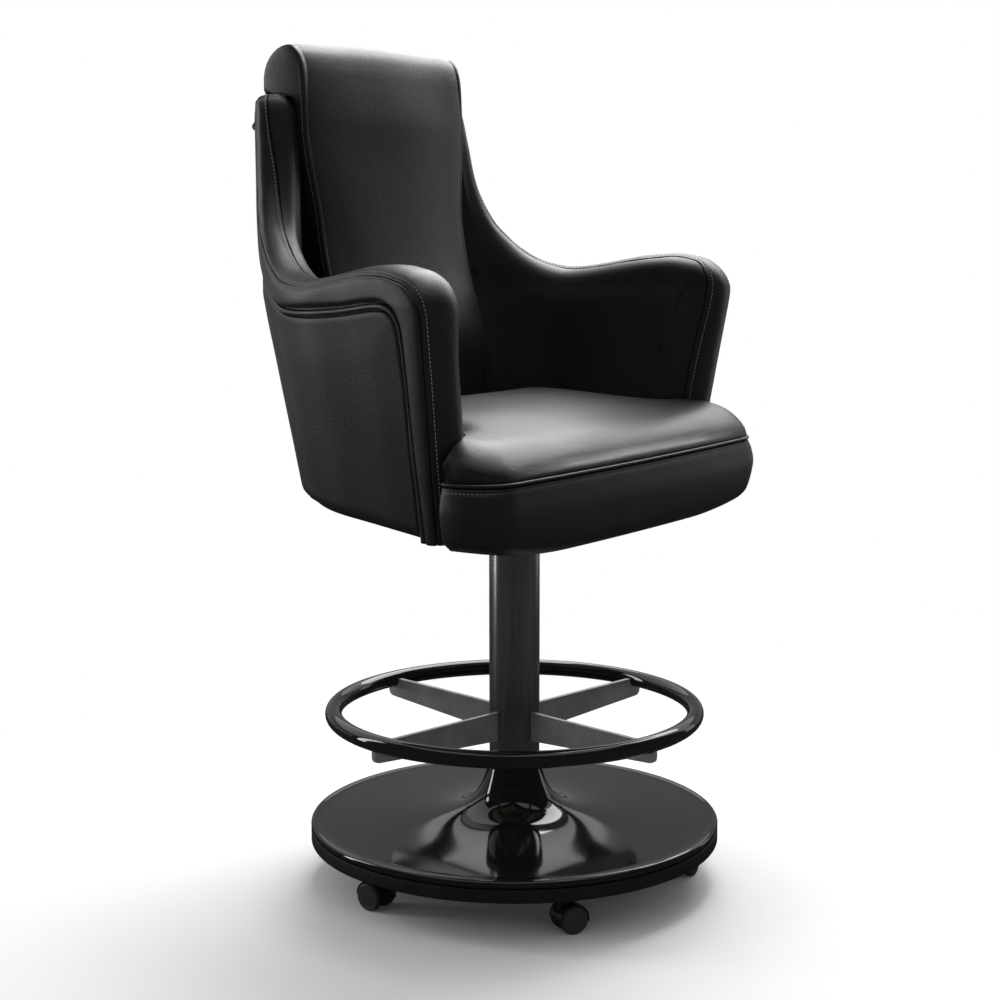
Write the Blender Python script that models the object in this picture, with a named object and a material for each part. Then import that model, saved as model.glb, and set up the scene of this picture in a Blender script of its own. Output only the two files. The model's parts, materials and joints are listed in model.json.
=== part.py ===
"""Upholstered high-back gaming stool on a disc base with a foot ring and casters.

Metres, +Z up, floor at z = 0. The seat faces -Y. The column stands on the empty
stool_origin, and every size of the base is measured from the column's axis.
"""
import math

import bmesh
import bpy
from mathutils import Matrix, Vector

# Clearances and cuts
GAP = 0.0003
RUNNING_GAP = 0.0006
OVERRUN = 0.002

# Where the column's axis stands, so that the whole stool is centred on the origin
COLUMN_Y = -0.0191

# Column
COLUMN_RADIUS = 0.03335
COLUMN_WALL = 0.0025
COLUMN_TOP = 0.4680

# Outer radius of the base
BASE_RADIUS = 0.2712

# Casters
CASTER_COUNT = 5
CASTER_INSET = 0.0492
CASTER_CIRCLE = BASE_RADIUS - CASTER_INSET
CASTER_FIRST_ANGLE = math.radians(-129.6)
CASTER_TURNS = [math.radians(a) for a in (12.0, -22.9, 0.0, 0.0, 18.0)]
CASTER_TRAIL = 0.0120
WHEEL_RADIUS = 0.0180
WHEEL_WIDTH = 0.0118
WHEEL_EDGE = 0.0022
WHEEL_DISH = 0.0004
WHEEL_FACE_BORDER = 0.0045
WHEEL_BORE_DEPTH = 0.0080
WEB_WIDTH = 0.0110
WEB_RADIUS = 0.0150
HOOD_WALL = 0.0018
HOOD_FROM = math.radians(-12.0)
HOOD_TO = math.radians(178.0)
AXLE_RADIUS = 0.0025
AXLE_OVERHANG = 0.0070
NECK_REACH = 0.0070
BOSS_RADIUS = 0.0085
BOSS_BOTTOM = 0.0395
BOSS_TOP = 0.0535
STEM_RADIUS = 0.0040
STEM_BOTTOM = 0.0440
STEM_COLLAR_RADIUS = 0.0070

# Base: weight plate, bumper, cover, collar
BUMPER_WIDTH = 0.0262
WEIGHT_RADIUS = BASE_RADIUS - BUMPER_WIDTH
WEIGHT_BOTTOM = 0.0575
WEIGHT_THICKNESS = 0.0120
WEIGHT_CORNER = 0.0015
UNDERSIDE_MARGIN = 0.0220
UNDERSIDE_STEP = 0.0020
BOLT_RECESS = 0.0060
BUMPER_BOTTOM = 0.0570
BUMPER_TOP = 0.0742
BUMPER_CORNER = 0.0020
RIM_RADIUS = 0.0052
COVER_WALL = 0.0018
COVER_FLAT = 0.0828
COVER_NECK_TOP = 0.1520
COVER_POWER = 2.1
COVER_CLEARANCE = 0.0006
COLLAR_HEIGHT = 0.0110
COLLAR_OVERHANG = 0.0030
COLLAR_CORNER = 0.0015

# Foot of the column
FOOT_RADIUS = 0.0700
FOOT_THICKNESS = 0.0060
FOOT_PLUG_TOP = 0.1060
FOOT_BOLT_RADIUS = 0.0060
FOOT_BOLT_HEAD_RADIUS = 0.0110
FOOT_BOLT_HEAD = 0.0070
FOOT_BOLT_TOP = 0.0980
BOLT_END_GAP = 0.0010

# Foot ring and its four bars
RING_HEIGHT = 0.2277
RING_RADIUS = 0.2398
RING_TUBE = 0.0110
BAR_COUNT = 4
BAR_FIRST_ANGLE = math.radians(-9.5)
BAR_THICKNESS = 0.0060
BAR_RISE = 0.0019
BAR_DROP_INNER = 0.0367
BAR_DROP_OUTER = 0.0242
BAR_OVERHANG = 0.0085
BAR_CORNER = 0.0080

# Swivel at the head of the column
HOUSING_BOTTOM = 0.4000
HOUSING_FLANGE = 0.0050
HOUSING_FLANGE_RADIUS = 0.0345
SPINDLE_RADIUS = 0.0125
SPINDLE_BOTTOM = 0.3860
NUT_HEIGHT = 0.0080
NUT_RADIUS = 0.0200
RACE_INNER = 0.0180
RACE_OUTER = 0.0320
RACE_THICKNESS = 0.0036
BALL_RADIUS = 0.0030
BALL_COUNT = 8
CAGE_MARGIN = 0.0012
CAGE_THICKNESS = 0.0016
HUB_THICKNESS = 0.0080
HUB_RADIUS = 0.0340
SHROUD_WALL = 0.0018
SHROUD_CLEARANCE = 0.0030
SHROUD_DROP = 0.0200

# Seat frame: plate, bolts, bearers, front rail, board
PLATE_HALF_X = 0.0950
PLATE_HALF_Y = 0.0850
PLATE_THICKNESS = 0.0050
PLATE_CORNER = 0.0150
SEAT_BOLT_HALF_X = 0.0750
SEAT_BOLT_HALF_Y = 0.0580
SEAT_BOLT_RADIUS = 0.0040
SEAT_BOLT_HEAD_RADIUS = 0.0075
SEAT_BOLT_HEAD = 0.0045
SEAT_BOLT_GRIP = 0.0300
BEARER_HALF_LENGTH = 0.1400
BEARER_WIDTH = 0.0440
BEARER_HEIGHT = 0.0450
FRONT_RAIL_BOTTOM = 0.5060
FRONT_RAIL_THICKNESS = 0.0180
BOARD_THICKNESS = 0.0150

# Tub: the U of the arms and back, given by its middle surface at arm height
TUB_HALF_WIDTH = 0.3140
TUB_FRONT = 0.1350
TUB_BACK = 0.2760
TUB_PLAN_SHARES = [(1.017, -1.0), (0.940, 0.0), (0.879, 0.380), (0.774, 0.627),
                   (0.669, 0.783), (0.484, 0.913), (0.242, 0.982), (0.0, 1.0)]
ARM_LEVEL = 0.7800
TUB_TAPER_HEIGHT = 1.6000
BACK_LEAN = 0.0450
ARM_THICKNESS = 0.0660
BACK_THICKNESS = 0.0460
THICK_ARM_SHARE = 0.33
THIN_BACK_SHARE = 0.62
TUB_BOTTOM_FRONT = 0.5000
TUB_BOTTOM_SLOPE = 0.0680
TUB_BOTTOM_LEVEL_SHARE = 0.50
TUB_BOTTOM_ROUND = 0.0080
KNUCKLE_HEIGHT = 0.7650
KNUCKLE_RADIUS = 0.0550
KNUCKLE_ARC = math.radians(80.0)
ARM_TOP = 0.8230
ARM_DIP = 0.8030
WING_TOP = 1.0300
ARM_TOP_SHARES = [(0.125, 1.0), (0.200, 0.85), (0.283, 0.40), (0.375, 0.0)]
WING_SHARES = [(0.433, 0.013), (0.483, 0.057), (0.533, 0.148), (0.583, 0.291), (0.620, 0.496),
               (0.641, 0.746), (0.655, 0.922), (0.672, 0.982), (0.710, 1.0), (1.0, 1.0)]
OUTLINE_STEP = 0.0270
KNUCKLE_STEPS = 4

# Band along the edge of the tub
BAND_HEIGHT = 0.0200
BAND_CROWN_SHARES = [(-1.0, 0.0), (-1.0, 0.12), (-0.86, 0.58), (-0.48, 0.90), (0.0, 1.0),
                     (0.48, 0.90), (0.86, 0.58), (1.0, 0.12), (1.0, 0.0)]

# Outside panel in its recess
BORDER = 0.0420
RECESS = 0.0090
PANEL_FOOT = 0.0200
PANEL_STEP = 0.0012
PANEL_GROOVE = 0.0028
PANEL_SINK = 0.0040
PANEL_LIP = 0.0025

# Inner lining
LINING_THICKNESS = 0.0080
LINING_START = 0.0300
LINING_END_X = 0.1830
LINING_TOP_INSET = 0.0200
LINING_ROUND = 0.0040

# Back pad
PAD_HALF_WIDTH = 0.1500
PAD_HEAD_HALF_WIDTH = 0.1660
PAD_HEAD_REAR = 0.2770
PAD_HEAD_LIFT = 0.0015
PAD_HEAD_LEVEL = 1.0000
PAD_WAIST_LEVEL = 0.8600
PAD_TOP = 1.0940
PAD_WAIST_Y = 0.1460
PAD_HEAD_Y = 0.2310
PAD_FRONT_SHARES = [(0.0, 0.047), (0.130, 0.0), (0.245, 0.047), (0.356, 0.247), (0.456, 0.447),
                    (0.565, 0.576), (0.711, 0.671), (0.830, 0.712), (0.906, 0.735), (0.946, 0.765),
                    (0.975, 0.830), (0.994, 0.940)]
PAD_HEAD_ROLL = 0.0440
PAD_TOP_CORNER = 0.0100
PAD_CROWN = 0.0120
PAD_CROWN_FROM = 0.6400
PAD_CROWN_FULL = 0.7400
PAD_SIDE_ROUND = 0.0120
PAD_ROUND_SHARE = 0.30
PAD_ACROSS_SHARES = [-1.0, -0.72, -0.38, 0.0, 0.38, 0.72, 1.0]

# Seat cushion
CUSHION_BOTTOM = 0.4840
CUSHION_HALF_WIDTH = 0.3180
CUSHION_FRONT = 0.1900
CUSHION_BOW = 0.0120
CUSHION_CORNER = 0.0520
CUSHION_REAR = 0.1300
CUSHION_REAR_CORNER = 0.0300
CUSHION_CLEARANCE = 0.0010
CUSHION_TUCK = 0.0180
CUSHION_SWEEP = 0.0170
CUSHION_SWEEP_SHARE = 0.45
WELT_LEVEL = 0.5770
WELT_RADIUS = 0.0032
CUSHION_TOP = 0.6410
BOX_SHARES = [(0.0, 1.0), (0.07, 0.33), (0.22, 0.0), (0.42, -0.22), (0.66, -0.33),
              (0.86, -0.17), (0.95, 0.0)]
CROWN_EDGE = 0.0500
CROWN_RUN = 0.3000
CROWN_FRONT_SHARE = 0.30
CUSHION_COLUMNS = 12
CUSHION_CORNER_ROWS = 4
CUSHION_SIDE_ROWS = 5
CUSHION_REAR_ROWS = 2

# Facets
ROUND_FACETS = 40
RING_FACETS = 48
RING_TUBE_FACETS = 8
COLUMN_FACETS = 24
SMALL_FACETS = 12
WHEEL_FACETS = 16
BOLT_FACETS = 8
BALL_FACETS = 6
BALL_STEPS = 3
COVER_STEPS = 6
BEAD_STEPS = 4
NOTCH_STEPS = 6
CORNER_STEPS = 3
HOOD_STEPS = 7
PLAN_STEPS = 6
BAND_FRONT_STEPS = 3
SHARP_ANGLE = math.radians(40.0)

# Levels that follow from the sizes above
WEIGHT_TOP = WEIGHT_BOTTOM + WEIGHT_THICKNESS
FOOT_BOTTOM = WEIGHT_TOP + GAP
FOOT_TOP = FOOT_BOTTOM + FOOT_THICKNESS
COLUMN_BOTTOM = FOOT_TOP + GAP
FLANGE_TOP = COLUMN_TOP + GAP + HOUSING_FLANGE
BALL_LEVEL = FLANGE_TOP + GAP + BALL_RADIUS
UPPER_RACE_BOTTOM = BALL_LEVEL + BALL_RADIUS + GAP
HUB_BOTTOM = UPPER_RACE_BOTTOM + RACE_THICKNESS + GAP
PLATE_BOTTOM = HUB_BOTTOM + HUB_THICKNESS + GAP
PLATE_TOP = PLATE_BOTTOM + PLATE_THICKNESS
BEARER_BOTTOM = PLATE_TOP + GAP
BEARER_TOP = BEARER_BOTTOM + BEARER_HEIGHT
BOARD_BOTTOM = BEARER_TOP + GAP
BOARD_TOP = BOARD_BOTTOM + BOARD_THICKNESS
PAD_BOTTOM = BOARD_TOP + GAP
COVER_NECK_RADIUS = COLUMN_RADIUS + COVER_CLEARANCE + COVER_WALL
EAR_REAR = TUB_FRONT * (1.0 - (ARM_LEVEL - CUSHION_TOP) / TUB_TAPER_HEIGHT) + CUSHION_CLEARANCE


def clear_scene():
    for old in list(bpy.data.objects):
        bpy.data.objects.remove(old, do_unlink=True)


def make_material(name, color, roughness, metallic=0.0):
    material = bpy.data.materials.new(name)
    material.use_nodes = True
    shader = material.node_tree.nodes["Principled BSDF"]
    shader.inputs["Base Color"].default_value = (*color, 1.0)
    shader.inputs["Roughness"].default_value = roughness
    shader.inputs["Metallic"].default_value = metallic
    return material


def make_empty(name, location, parent=None, turn=0.0):
    empty = bpy.data.objects.new(name, None)
    empty.location = location
    empty.rotation_euler = (0.0, 0.0, turn)
    empty.parent = parent
    bpy.context.scene.collection.objects.link(empty)
    return empty


def add_object(name, mesh, material, parent, location=(0.0, 0.0, 0.0), turn=0.0):
    obj = bpy.data.objects.new(name, mesh)
    if material is not None and not mesh.materials:
        mesh.materials.append(material)
    obj.location = location
    obj.rotation_euler = (0.0, 0.0, turn)
    obj.parent = parent
    bpy.context.scene.collection.objects.link(obj)
    return obj


def finish_mesh(name, bm):
    bmesh.ops.recalc_face_normals(bm, faces=bm.faces)
    mesh = bpy.data.meshes.new(name)
    bm.to_mesh(mesh)
    bm.free()
    mesh.shade_smooth()
    mesh.set_sharp_from_angle(angle=SHARP_ANGLE)
    return mesh


def add_lathe(bm, profile, facets, centre=(0.0, 0.0)):
    """Turn a profile of (radius, height) about Z. A profile that starts and ends on the
    axis is a solid, and any other is closed into a ring."""
    rings = []
    for radius, height in profile:
        if radius < GAP:
            rings.append([bm.verts.new((centre[0], centre[1], height))])
            continue
        ring = []
        for i in range(facets):
            angle = math.tau * i / facets
            place = (centre[0] + radius * math.cos(angle), centre[1] + radius * math.sin(angle), height)
            ring.append(bm.verts.new(place))
        rings.append(ring)
    pairs = list(zip(rings, rings[1:]))
    if len(rings[0]) > 1:
        pairs.append((rings[-1], rings[0]))
    for low, high in pairs:
        for i in range(facets):
            j = (i + 1) % facets
            corners = [low[i % len(low)], low[j % len(low)], high[j % len(high)], high[i % len(high)]]
            unique = list(dict.fromkeys(corners))
            if len(unique) > 2:
                bm.faces.new(unique)


def lathe_mesh(name, profile, facets):
    bm = bmesh.new()
    add_lathe(bm, profile, facets)
    return finish_mesh(name, bm)


def add_loft(bm, loops, ring=False, middle=None):
    """Skin equal loops of points with triangles, with flat ends unless the loops close into a
    ring. The diagonals turn over at the middle loop, so that a symmetric shape stays so."""
    rows = [[bm.verts.new(p) for p in loop] for loop in loops]
    count = len(rows[0])
    pairs = list(zip(rows, rows[1:]))
    if ring:
        pairs.append((rows[-1], rows[0]))
    for k, (a, b) in enumerate(pairs):
        near, far = (b, a) if middle is not None and k >= middle else (a, b)
        for i in range(count):
            j = (i + 1) % count
            bm.faces.new((near[i], near[j], far[j]))
            bm.faces.new((near[i], far[j], far[i]))
    if not ring:
        bm.faces.new(rows[0])
        bm.faces.new(rows[-1])


def loft_mesh(name, loops, ring=False, middle=None):
    bm = bmesh.new()
    add_loft(bm, loops, ring, middle)
    return finish_mesh(name, bm)


def prism_mesh(name, outline, bottom, top):
    loops = [[(x, y, z) for x, y in outline] for z in (bottom, top)]
    return loft_mesh(name, loops)


def rounded_rectangle(half_x, half_y, corner, steps=3):
    points = []
    for sign_x, sign_y, start in ((1, 1, 0.0), (-1, 1, 0.25), (-1, -1, 0.5), (1, -1, 0.75)):
        for i in range(steps + 1):
            angle = math.tau * (start + 0.25 * i / steps)
            x = sign_x * (half_x - corner) + corner * math.cos(angle)
            y = sign_y * (half_y - corner) + corner * math.sin(angle)
            points.append((x, y))
    return points


def combine(name, mesh, operands, operation):
    """Apply Booleans to a mesh and return the result as a new mesh."""
    body = add_object(name, mesh, None, None)
    helpers = []
    for i, other in enumerate(operands):
        helper = add_object(f"{name}_tool_{i}", other, None, None)
        helper.hide_render = True
        helper.display_type = "WIRE"
        helpers.append(helper)
        modifier = body.modifiers.new(f"tool_{i}", "BOOLEAN")
        modifier.operation = operation
        modifier.object = helper
    bpy.context.view_layer.update()
    graph = bpy.context.evaluated_depsgraph_get()
    result = bpy.data.meshes.new_from_object(body.evaluated_get(graph))
    for used in (body, *helpers):
        bpy.data.objects.remove(used, do_unlink=True)
    result.materials.clear()
    result.shade_smooth()
    result.set_sharp_from_angle(angle=SHARP_ANGLE)
    return result


def on_circle(radius, angle):
    return (radius * math.cos(angle), radius * math.sin(angle))


# Base


def build_base(root, mats):
    build_weight(root, mats)
    build_foot(root, mats)
    build_bumper(root, mats)
    build_cover(root, mats)
    build_collar(root, mats)
    build_column(root, mats)
    build_foot_ring(root, mats)
    build_bars(root, mats)


def holes_mesh(name, places, radius, bottom, top):
    bm = bmesh.new()
    for place in places:
        profile = [(0.0, bottom), (radius, bottom), (radius, top), (0.0, top)]
        add_lathe(bm, profile, SMALL_FACETS, place)
    return finish_mesh(name, bm)


def build_weight(root, mats):
    """A plate with a recess for the bolt's head, and a flat raised ring round it underneath."""
    edge = WEIGHT_RADIUS - WEIGHT_CORNER
    ring_inner = FOOT_BOLT_HEAD_RADIUS + UNDERSIDE_MARGIN
    ring_outer = CASTER_CIRCLE - UNDERSIDE_MARGIN
    ring_level = WEIGHT_BOTTOM - UNDERSIDE_STEP
    recess = WEIGHT_BOTTOM + BOLT_RECESS
    profile = [(0.0, recess), (ring_inner, recess), (ring_inner, ring_level), (ring_outer, ring_level),
               (ring_outer, WEIGHT_BOTTOM), (edge, WEIGHT_BOTTOM),
               (WEIGHT_RADIUS, WEIGHT_BOTTOM + WEIGHT_CORNER), (WEIGHT_RADIUS, WEIGHT_TOP - WEIGHT_CORNER),
               (edge, WEIGHT_TOP), (0.0, WEIGHT_TOP)]
    plate = lathe_mesh("weight_plate", profile, ROUND_FACETS)
    low, high = WEIGHT_BOTTOM - OVERRUN, WEIGHT_TOP + OVERRUN
    stem_places = [on_circle(CASTER_CIRCLE, caster_angle(i)) for i in range(CASTER_COUNT)]
    stems = holes_mesh("stem_holes", stem_places, STEM_RADIUS + GAP, low, high)
    bolt = holes_mesh("bolt_hole", [(0.0, 0.0)], FOOT_BOLT_RADIUS + GAP, low, high)
    mesh = combine("weight_plate", plate, [stems, bolt], "DIFFERENCE")
    add_object("weight_plate", mesh, mats["cast_iron"], root)


def build_foot(root, mats):
    """A flange with a plug that fills the foot of the column, and the bolt up its middle."""
    plug = COLUMN_RADIUS - COLUMN_WALL - GAP
    bore = FOOT_BOLT_RADIUS + GAP
    bore_top = FOOT_BOLT_TOP + BOLT_END_GAP
    profile = [(bore, FOOT_BOTTOM), (FOOT_RADIUS, FOOT_BOTTOM), (FOOT_RADIUS, FOOT_TOP), (plug, FOOT_TOP),
               (plug, FOOT_PLUG_TOP), (0.0, FOOT_PLUG_TOP), (0.0, bore_top), (bore, bore_top)]
    add_object("column_foot", lathe_mesh("column_foot", profile, COLUMN_FACETS), mats["plain_steel"], root)
    seat = WEIGHT_BOTTOM + BOLT_RECESS - GAP
    profile = bolt_profile(seat, FOOT_BOLT_TOP, FOOT_BOLT_RADIUS, FOOT_BOLT_HEAD_RADIUS, FOOT_BOLT_HEAD)
    add_object("foot_bolt", lathe_mesh("foot_bolt", profile, BOLT_FACETS), mats["zinc"], root)


def bolt_profile(seat, top, radius, head_radius, head):
    """A bolt whose head hangs below the level seat and whose shank ends at top."""
    return [(0.0, seat - head), (head_radius, seat - head), (head_radius, seat), (radius, seat),
            (radius, top), (0.0, top)]


def build_bumper(root, mats):
    inner = WEIGHT_RADIUS + GAP
    edge = BASE_RADIUS - BUMPER_CORNER
    profile = [(inner, BUMPER_BOTTOM), (edge, BUMPER_BOTTOM), (BASE_RADIUS, BUMPER_BOTTOM + BUMPER_CORNER),
               (BASE_RADIUS, BUMPER_TOP - BUMPER_CORNER), (edge, BUMPER_TOP), (inner, BUMPER_TOP)]
    add_object("base_bumper", lathe_mesh("base_bumper", profile, ROUND_FACETS), mats["rubber"], root)


def neck_share(radius):
    """How much of the neck's steepness is left at a radius, 1 at the neck itself."""
    return (COVER_NECK_RADIUS / radius) ** COVER_POWER


def build_cover(root, mats):
    """A sheet trumpet that flattens into a disc and is rolled round at its rim."""
    rim_radius = BASE_RADIUS - RIM_RADIUS
    rim_level = BUMPER_TOP + GAP + RIM_RADIUS
    outer = []
    for i in range(COVER_STEPS):
        radius = COVER_NECK_RADIUS * (rim_radius / COVER_NECK_RADIUS) ** (i / COVER_STEPS)
        outer.append((radius, COVER_FLAT + (COVER_NECK_TOP - COVER_FLAT) * neck_share(radius)))
    bead = []
    for i in range(BEAD_STEPS + 1):
        angle = math.pi * i / BEAD_STEPS
        bead.append((rim_radius + RIM_RADIUS * math.sin(angle), rim_level + RIM_RADIUS * math.cos(angle)))
    lip = rim_radius - COVER_WALL
    inner = [(lip, rim_level - RIM_RADIUS), (lip, rim_level + RIM_RADIUS - COVER_WALL)]
    for radius, height in outer[:0:-1]:
        inner.append((radius - COVER_WALL * neck_share(radius), height - COVER_WALL))
    inner.append((COVER_NECK_RADIUS - COVER_WALL, COVER_NECK_TOP))
    mesh = lathe_mesh("base_cover", outer + bead + inner, ROUND_FACETS)
    add_object("base_cover", mesh, mats["gloss_black"], root)


def build_collar(root, mats):
    inner = COLUMN_RADIUS + GAP
    outer = COVER_NECK_RADIUS + COLLAR_OVERHANG
    bottom = COVER_NECK_TOP + GAP
    top = bottom + COLLAR_HEIGHT
    profile = [(inner, bottom), (outer, bottom), (outer, top - COLLAR_CORNER), (outer - COLLAR_CORNER, top),
               (inner, top)]
    add_object("neck_collar", lathe_mesh("neck_collar", profile, COLUMN_FACETS), mats["rubber"], root)


def build_column(root, mats):
    inner = COLUMN_RADIUS - COLUMN_WALL
    profile = [(COLUMN_RADIUS, COLUMN_TOP), (COLUMN_RADIUS, COLUMN_BOTTOM), (inner, COLUMN_BOTTOM),
               (inner, COLUMN_TOP)]
    add_object("column", lathe_mesh("column", profile, COLUMN_FACETS), mats["satin_black"], root)


def build_foot_ring(root, mats):
    loops = []
    for i in range(RING_FACETS):
        angle = BAR_FIRST_ANGLE + math.tau * i / RING_FACETS
        loop = []
        for j in range(RING_TUBE_FACETS):
            turn = math.tau * j / RING_TUBE_FACETS
            radius = RING_RADIUS + RING_TUBE * math.cos(turn)
            loop.append((*on_circle(radius, angle), RING_HEIGHT + RING_TUBE * math.sin(turn)))
        loops.append(loop)
    add_object("foot_ring", loft_mesh("foot_ring", loops, ring=True), mats["gloss_black"], root)


def build_bars(root, mats):
    bar = bar_mesh()
    for i in range(BAR_COUNT):
        turn = BAR_FIRST_ANGLE + math.tau * i / BAR_COUNT
        add_object(f"ring_bar_{i + 1}", bar, mats["gloss_black"], root, turn=turn)


def bar_mesh():
    """A flat bar on edge, from the column to a notch that the ring lies in."""
    start = COLUMN_RADIUS + GAP
    notch = RING_TUBE + 2.0 * GAP
    end = RING_RADIUS + BAR_OVERHANG
    low_end = RING_HEIGHT - BAR_DROP_OUTER
    first = math.pi - math.asin(BAR_RISE / notch)
    last = math.tau - math.acos(BAR_OVERHANG / notch)
    outline = [(start, RING_HEIGHT + BAR_RISE)]
    for i in range(NOTCH_STEPS + 1):
        angle = first + (last - first) * i / NOTCH_STEPS
        outline.append((RING_RADIUS + notch * math.cos(angle), RING_HEIGHT + notch * math.sin(angle)))
    for i in range(CORNER_STEPS + 1):
        angle = -math.tau / 4.0 * i / CORNER_STEPS
        across = end - BAR_CORNER + BAR_CORNER * math.cos(angle)
        outline.append((across, low_end + BAR_CORNER + BAR_CORNER * math.sin(angle)))
    outline.append((start, RING_HEIGHT - BAR_DROP_INNER))
    half = BAR_THICKNESS / 2.0
    loops = [[(x, side, z) for x, z in outline] for side in (-half, half)]
    return loft_mesh("ring_bar", loops)


# Casters


def caster_angle(i):
    return CASTER_FIRST_ANGLE + math.tau * i / CASTER_COUNT


def build_casters(root, mats):
    body = caster_body_mesh()
    wheels = {side: caster_wheel_mesh(side) for side in (-1, 1)}
    axle = lathe_mesh("caster_axle", axle_profile(), BOLT_FACETS)
    axle.transform(Matrix.Rotation(math.tau / 4.0, 4, "Y"))
    stem = lathe_mesh("caster_stem", stem_profile(), BOLT_FACETS)
    centre = (0.0, CASTER_TRAIL, WHEEL_RADIUS)
    for i in range(CASTER_COUNT):
        place = (*on_circle(CASTER_CIRCLE, caster_angle(i)), 0.0)
        pivot = make_empty(f"caster_pivot_{i + 1}", place, root, caster_angle(i) + CASTER_TURNS[i])
        add_object(f"caster_stem_{i + 1}", stem, mats["zinc"], pivot)
        add_object(f"caster_body_{i + 1}", body, mats["caster_black"], pivot)
        add_object(f"caster_axle_{i + 1}", axle, mats["zinc"], pivot, centre)
        add_object(f"caster_wheel_in_{i + 1}", wheels[-1], mats["wheel_grey"], pivot, centre)
        add_object(f"caster_wheel_out_{i + 1}", wheels[1], mats["wheel_grey"], pivot, centre)


def axle_profile():
    half = WEB_WIDTH / 2.0 + AXLE_OVERHANG
    return [(0.0, -half), (AXLE_RADIUS, -half), (AXLE_RADIUS, half), (0.0, half)]


def stem_profile():
    """The stem, with the collar that bears on the underside of the weight plate."""
    bottom = STEM_BOTTOM + GAP
    collar_bottom = BOSS_TOP + GAP
    collar_top = WEIGHT_BOTTOM - GAP
    top = WEIGHT_TOP - BOLT_END_GAP
    return [(0.0, bottom), (STEM_RADIUS, bottom), (STEM_RADIUS, collar_bottom),
            (STEM_COLLAR_RADIUS, collar_bottom), (STEM_COLLAR_RADIUS, collar_top),
            (STEM_RADIUS, collar_top), (STEM_RADIUS, top), (0.0, top)]


def caster_wheel_mesh(side):
    """A wheel with a blind bore, on one side of the caster's web, dished a little outside."""
    inner = WEB_WIDTH / 2.0 + RUNNING_GAP
    outer = inner + WHEEL_WIDTH
    bore = AXLE_RADIUS + GAP
    profile = [(0.0, outer), (WHEEL_RADIUS - WHEEL_FACE_BORDER, outer - WHEEL_DISH),
               (WHEEL_RADIUS, outer - WHEEL_EDGE), (WHEEL_RADIUS, inner), (bore, inner),
               (bore, inner + WHEEL_BORE_DEPTH), (0.0, inner + WHEEL_BORE_DEPTH)]
    mesh = lathe_mesh("caster_wheel", [(radius, side * height) for radius, height in profile], WHEEL_FACETS)
    mesh.transform(Matrix.Rotation(math.tau / 4.0, 4, "Y"))
    return mesh


def caster_body_mesh():
    """Web, hood, neck and boss in one moulding, bored for the axle and the stem."""
    half_web = WEB_WIDTH / 2.0
    hood_inner = WHEEL_RADIUS + RUNNING_GAP
    hood_half = half_web + RUNNING_GAP + WHEEL_WIDTH - WHEEL_EDGE
    web = side_prism("web", arc_points(WEB_RADIUS, 0.0, math.tau, SMALL_FACETS)[:-1], half_web)
    hood_outline = arc_points(hood_inner + HOOD_WALL, HOOD_FROM, HOOD_TO, HOOD_STEPS)
    hood_outline += arc_points(hood_inner, HOOD_TO, HOOD_FROM, HOOD_STEPS)
    hood = side_prism("hood", hood_outline, hood_half)
    neck_top = (BOSS_BOTTOM + STEM_BOTTOM) / 2.0
    neck_outline = [(-NECK_REACH, WHEEL_RADIUS), (CASTER_TRAIL, WHEEL_RADIUS), (CASTER_TRAIL, neck_top),
                    (-NECK_REACH, neck_top)]
    neck = side_prism("neck", neck_outline, half_web)
    boss_profile = [(0.0, BOSS_BOTTOM), (BOSS_RADIUS, BOSS_BOTTOM), (BOSS_RADIUS, BOSS_TOP), (0.0, BOSS_TOP)]
    boss = lathe_mesh("boss", boss_profile, SMALL_FACETS)
    shell = combine("caster_body", web, [hood, neck, boss], "UNION")
    stem_hole = holes_mesh("stem_hole", [(0.0, 0.0)], STEM_RADIUS + GAP, STEM_BOTTOM, BOSS_TOP + OVERRUN)
    bore = AXLE_RADIUS + GAP
    half = half_web + OVERRUN
    bore_profile = [(0.0, -half), (bore, -half), (bore, half), (0.0, half)]
    axle_hole = lathe_mesh("axle_hole", bore_profile, SMALL_FACETS)
    axle_hole.transform(Matrix.Rotation(math.tau / 4.0, 4, "Y"))
    axle_hole.transform(Matrix.Translation((0.0, CASTER_TRAIL, WHEEL_RADIUS)))
    return combine("caster_body", shell, [stem_hole, axle_hole], "DIFFERENCE")


def side_prism(name, outline, half_width):
    """A prism along X from an outline of (y, z)."""
    loops = [[(x, y, z) for y, z in outline] for x in (-half_width, half_width)]
    return loft_mesh(name, loops)


def arc_points(radius, start, end, steps):
    """Points (y, z) on an arc about the axle."""
    points = []
    for i in range(steps + 1):
        angle = start + (end - start) * i / steps
        points.append((CASTER_TRAIL + radius * math.cos(angle), WHEEL_RADIUS + radius * math.sin(angle)))
    return points


# Swivel


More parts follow.
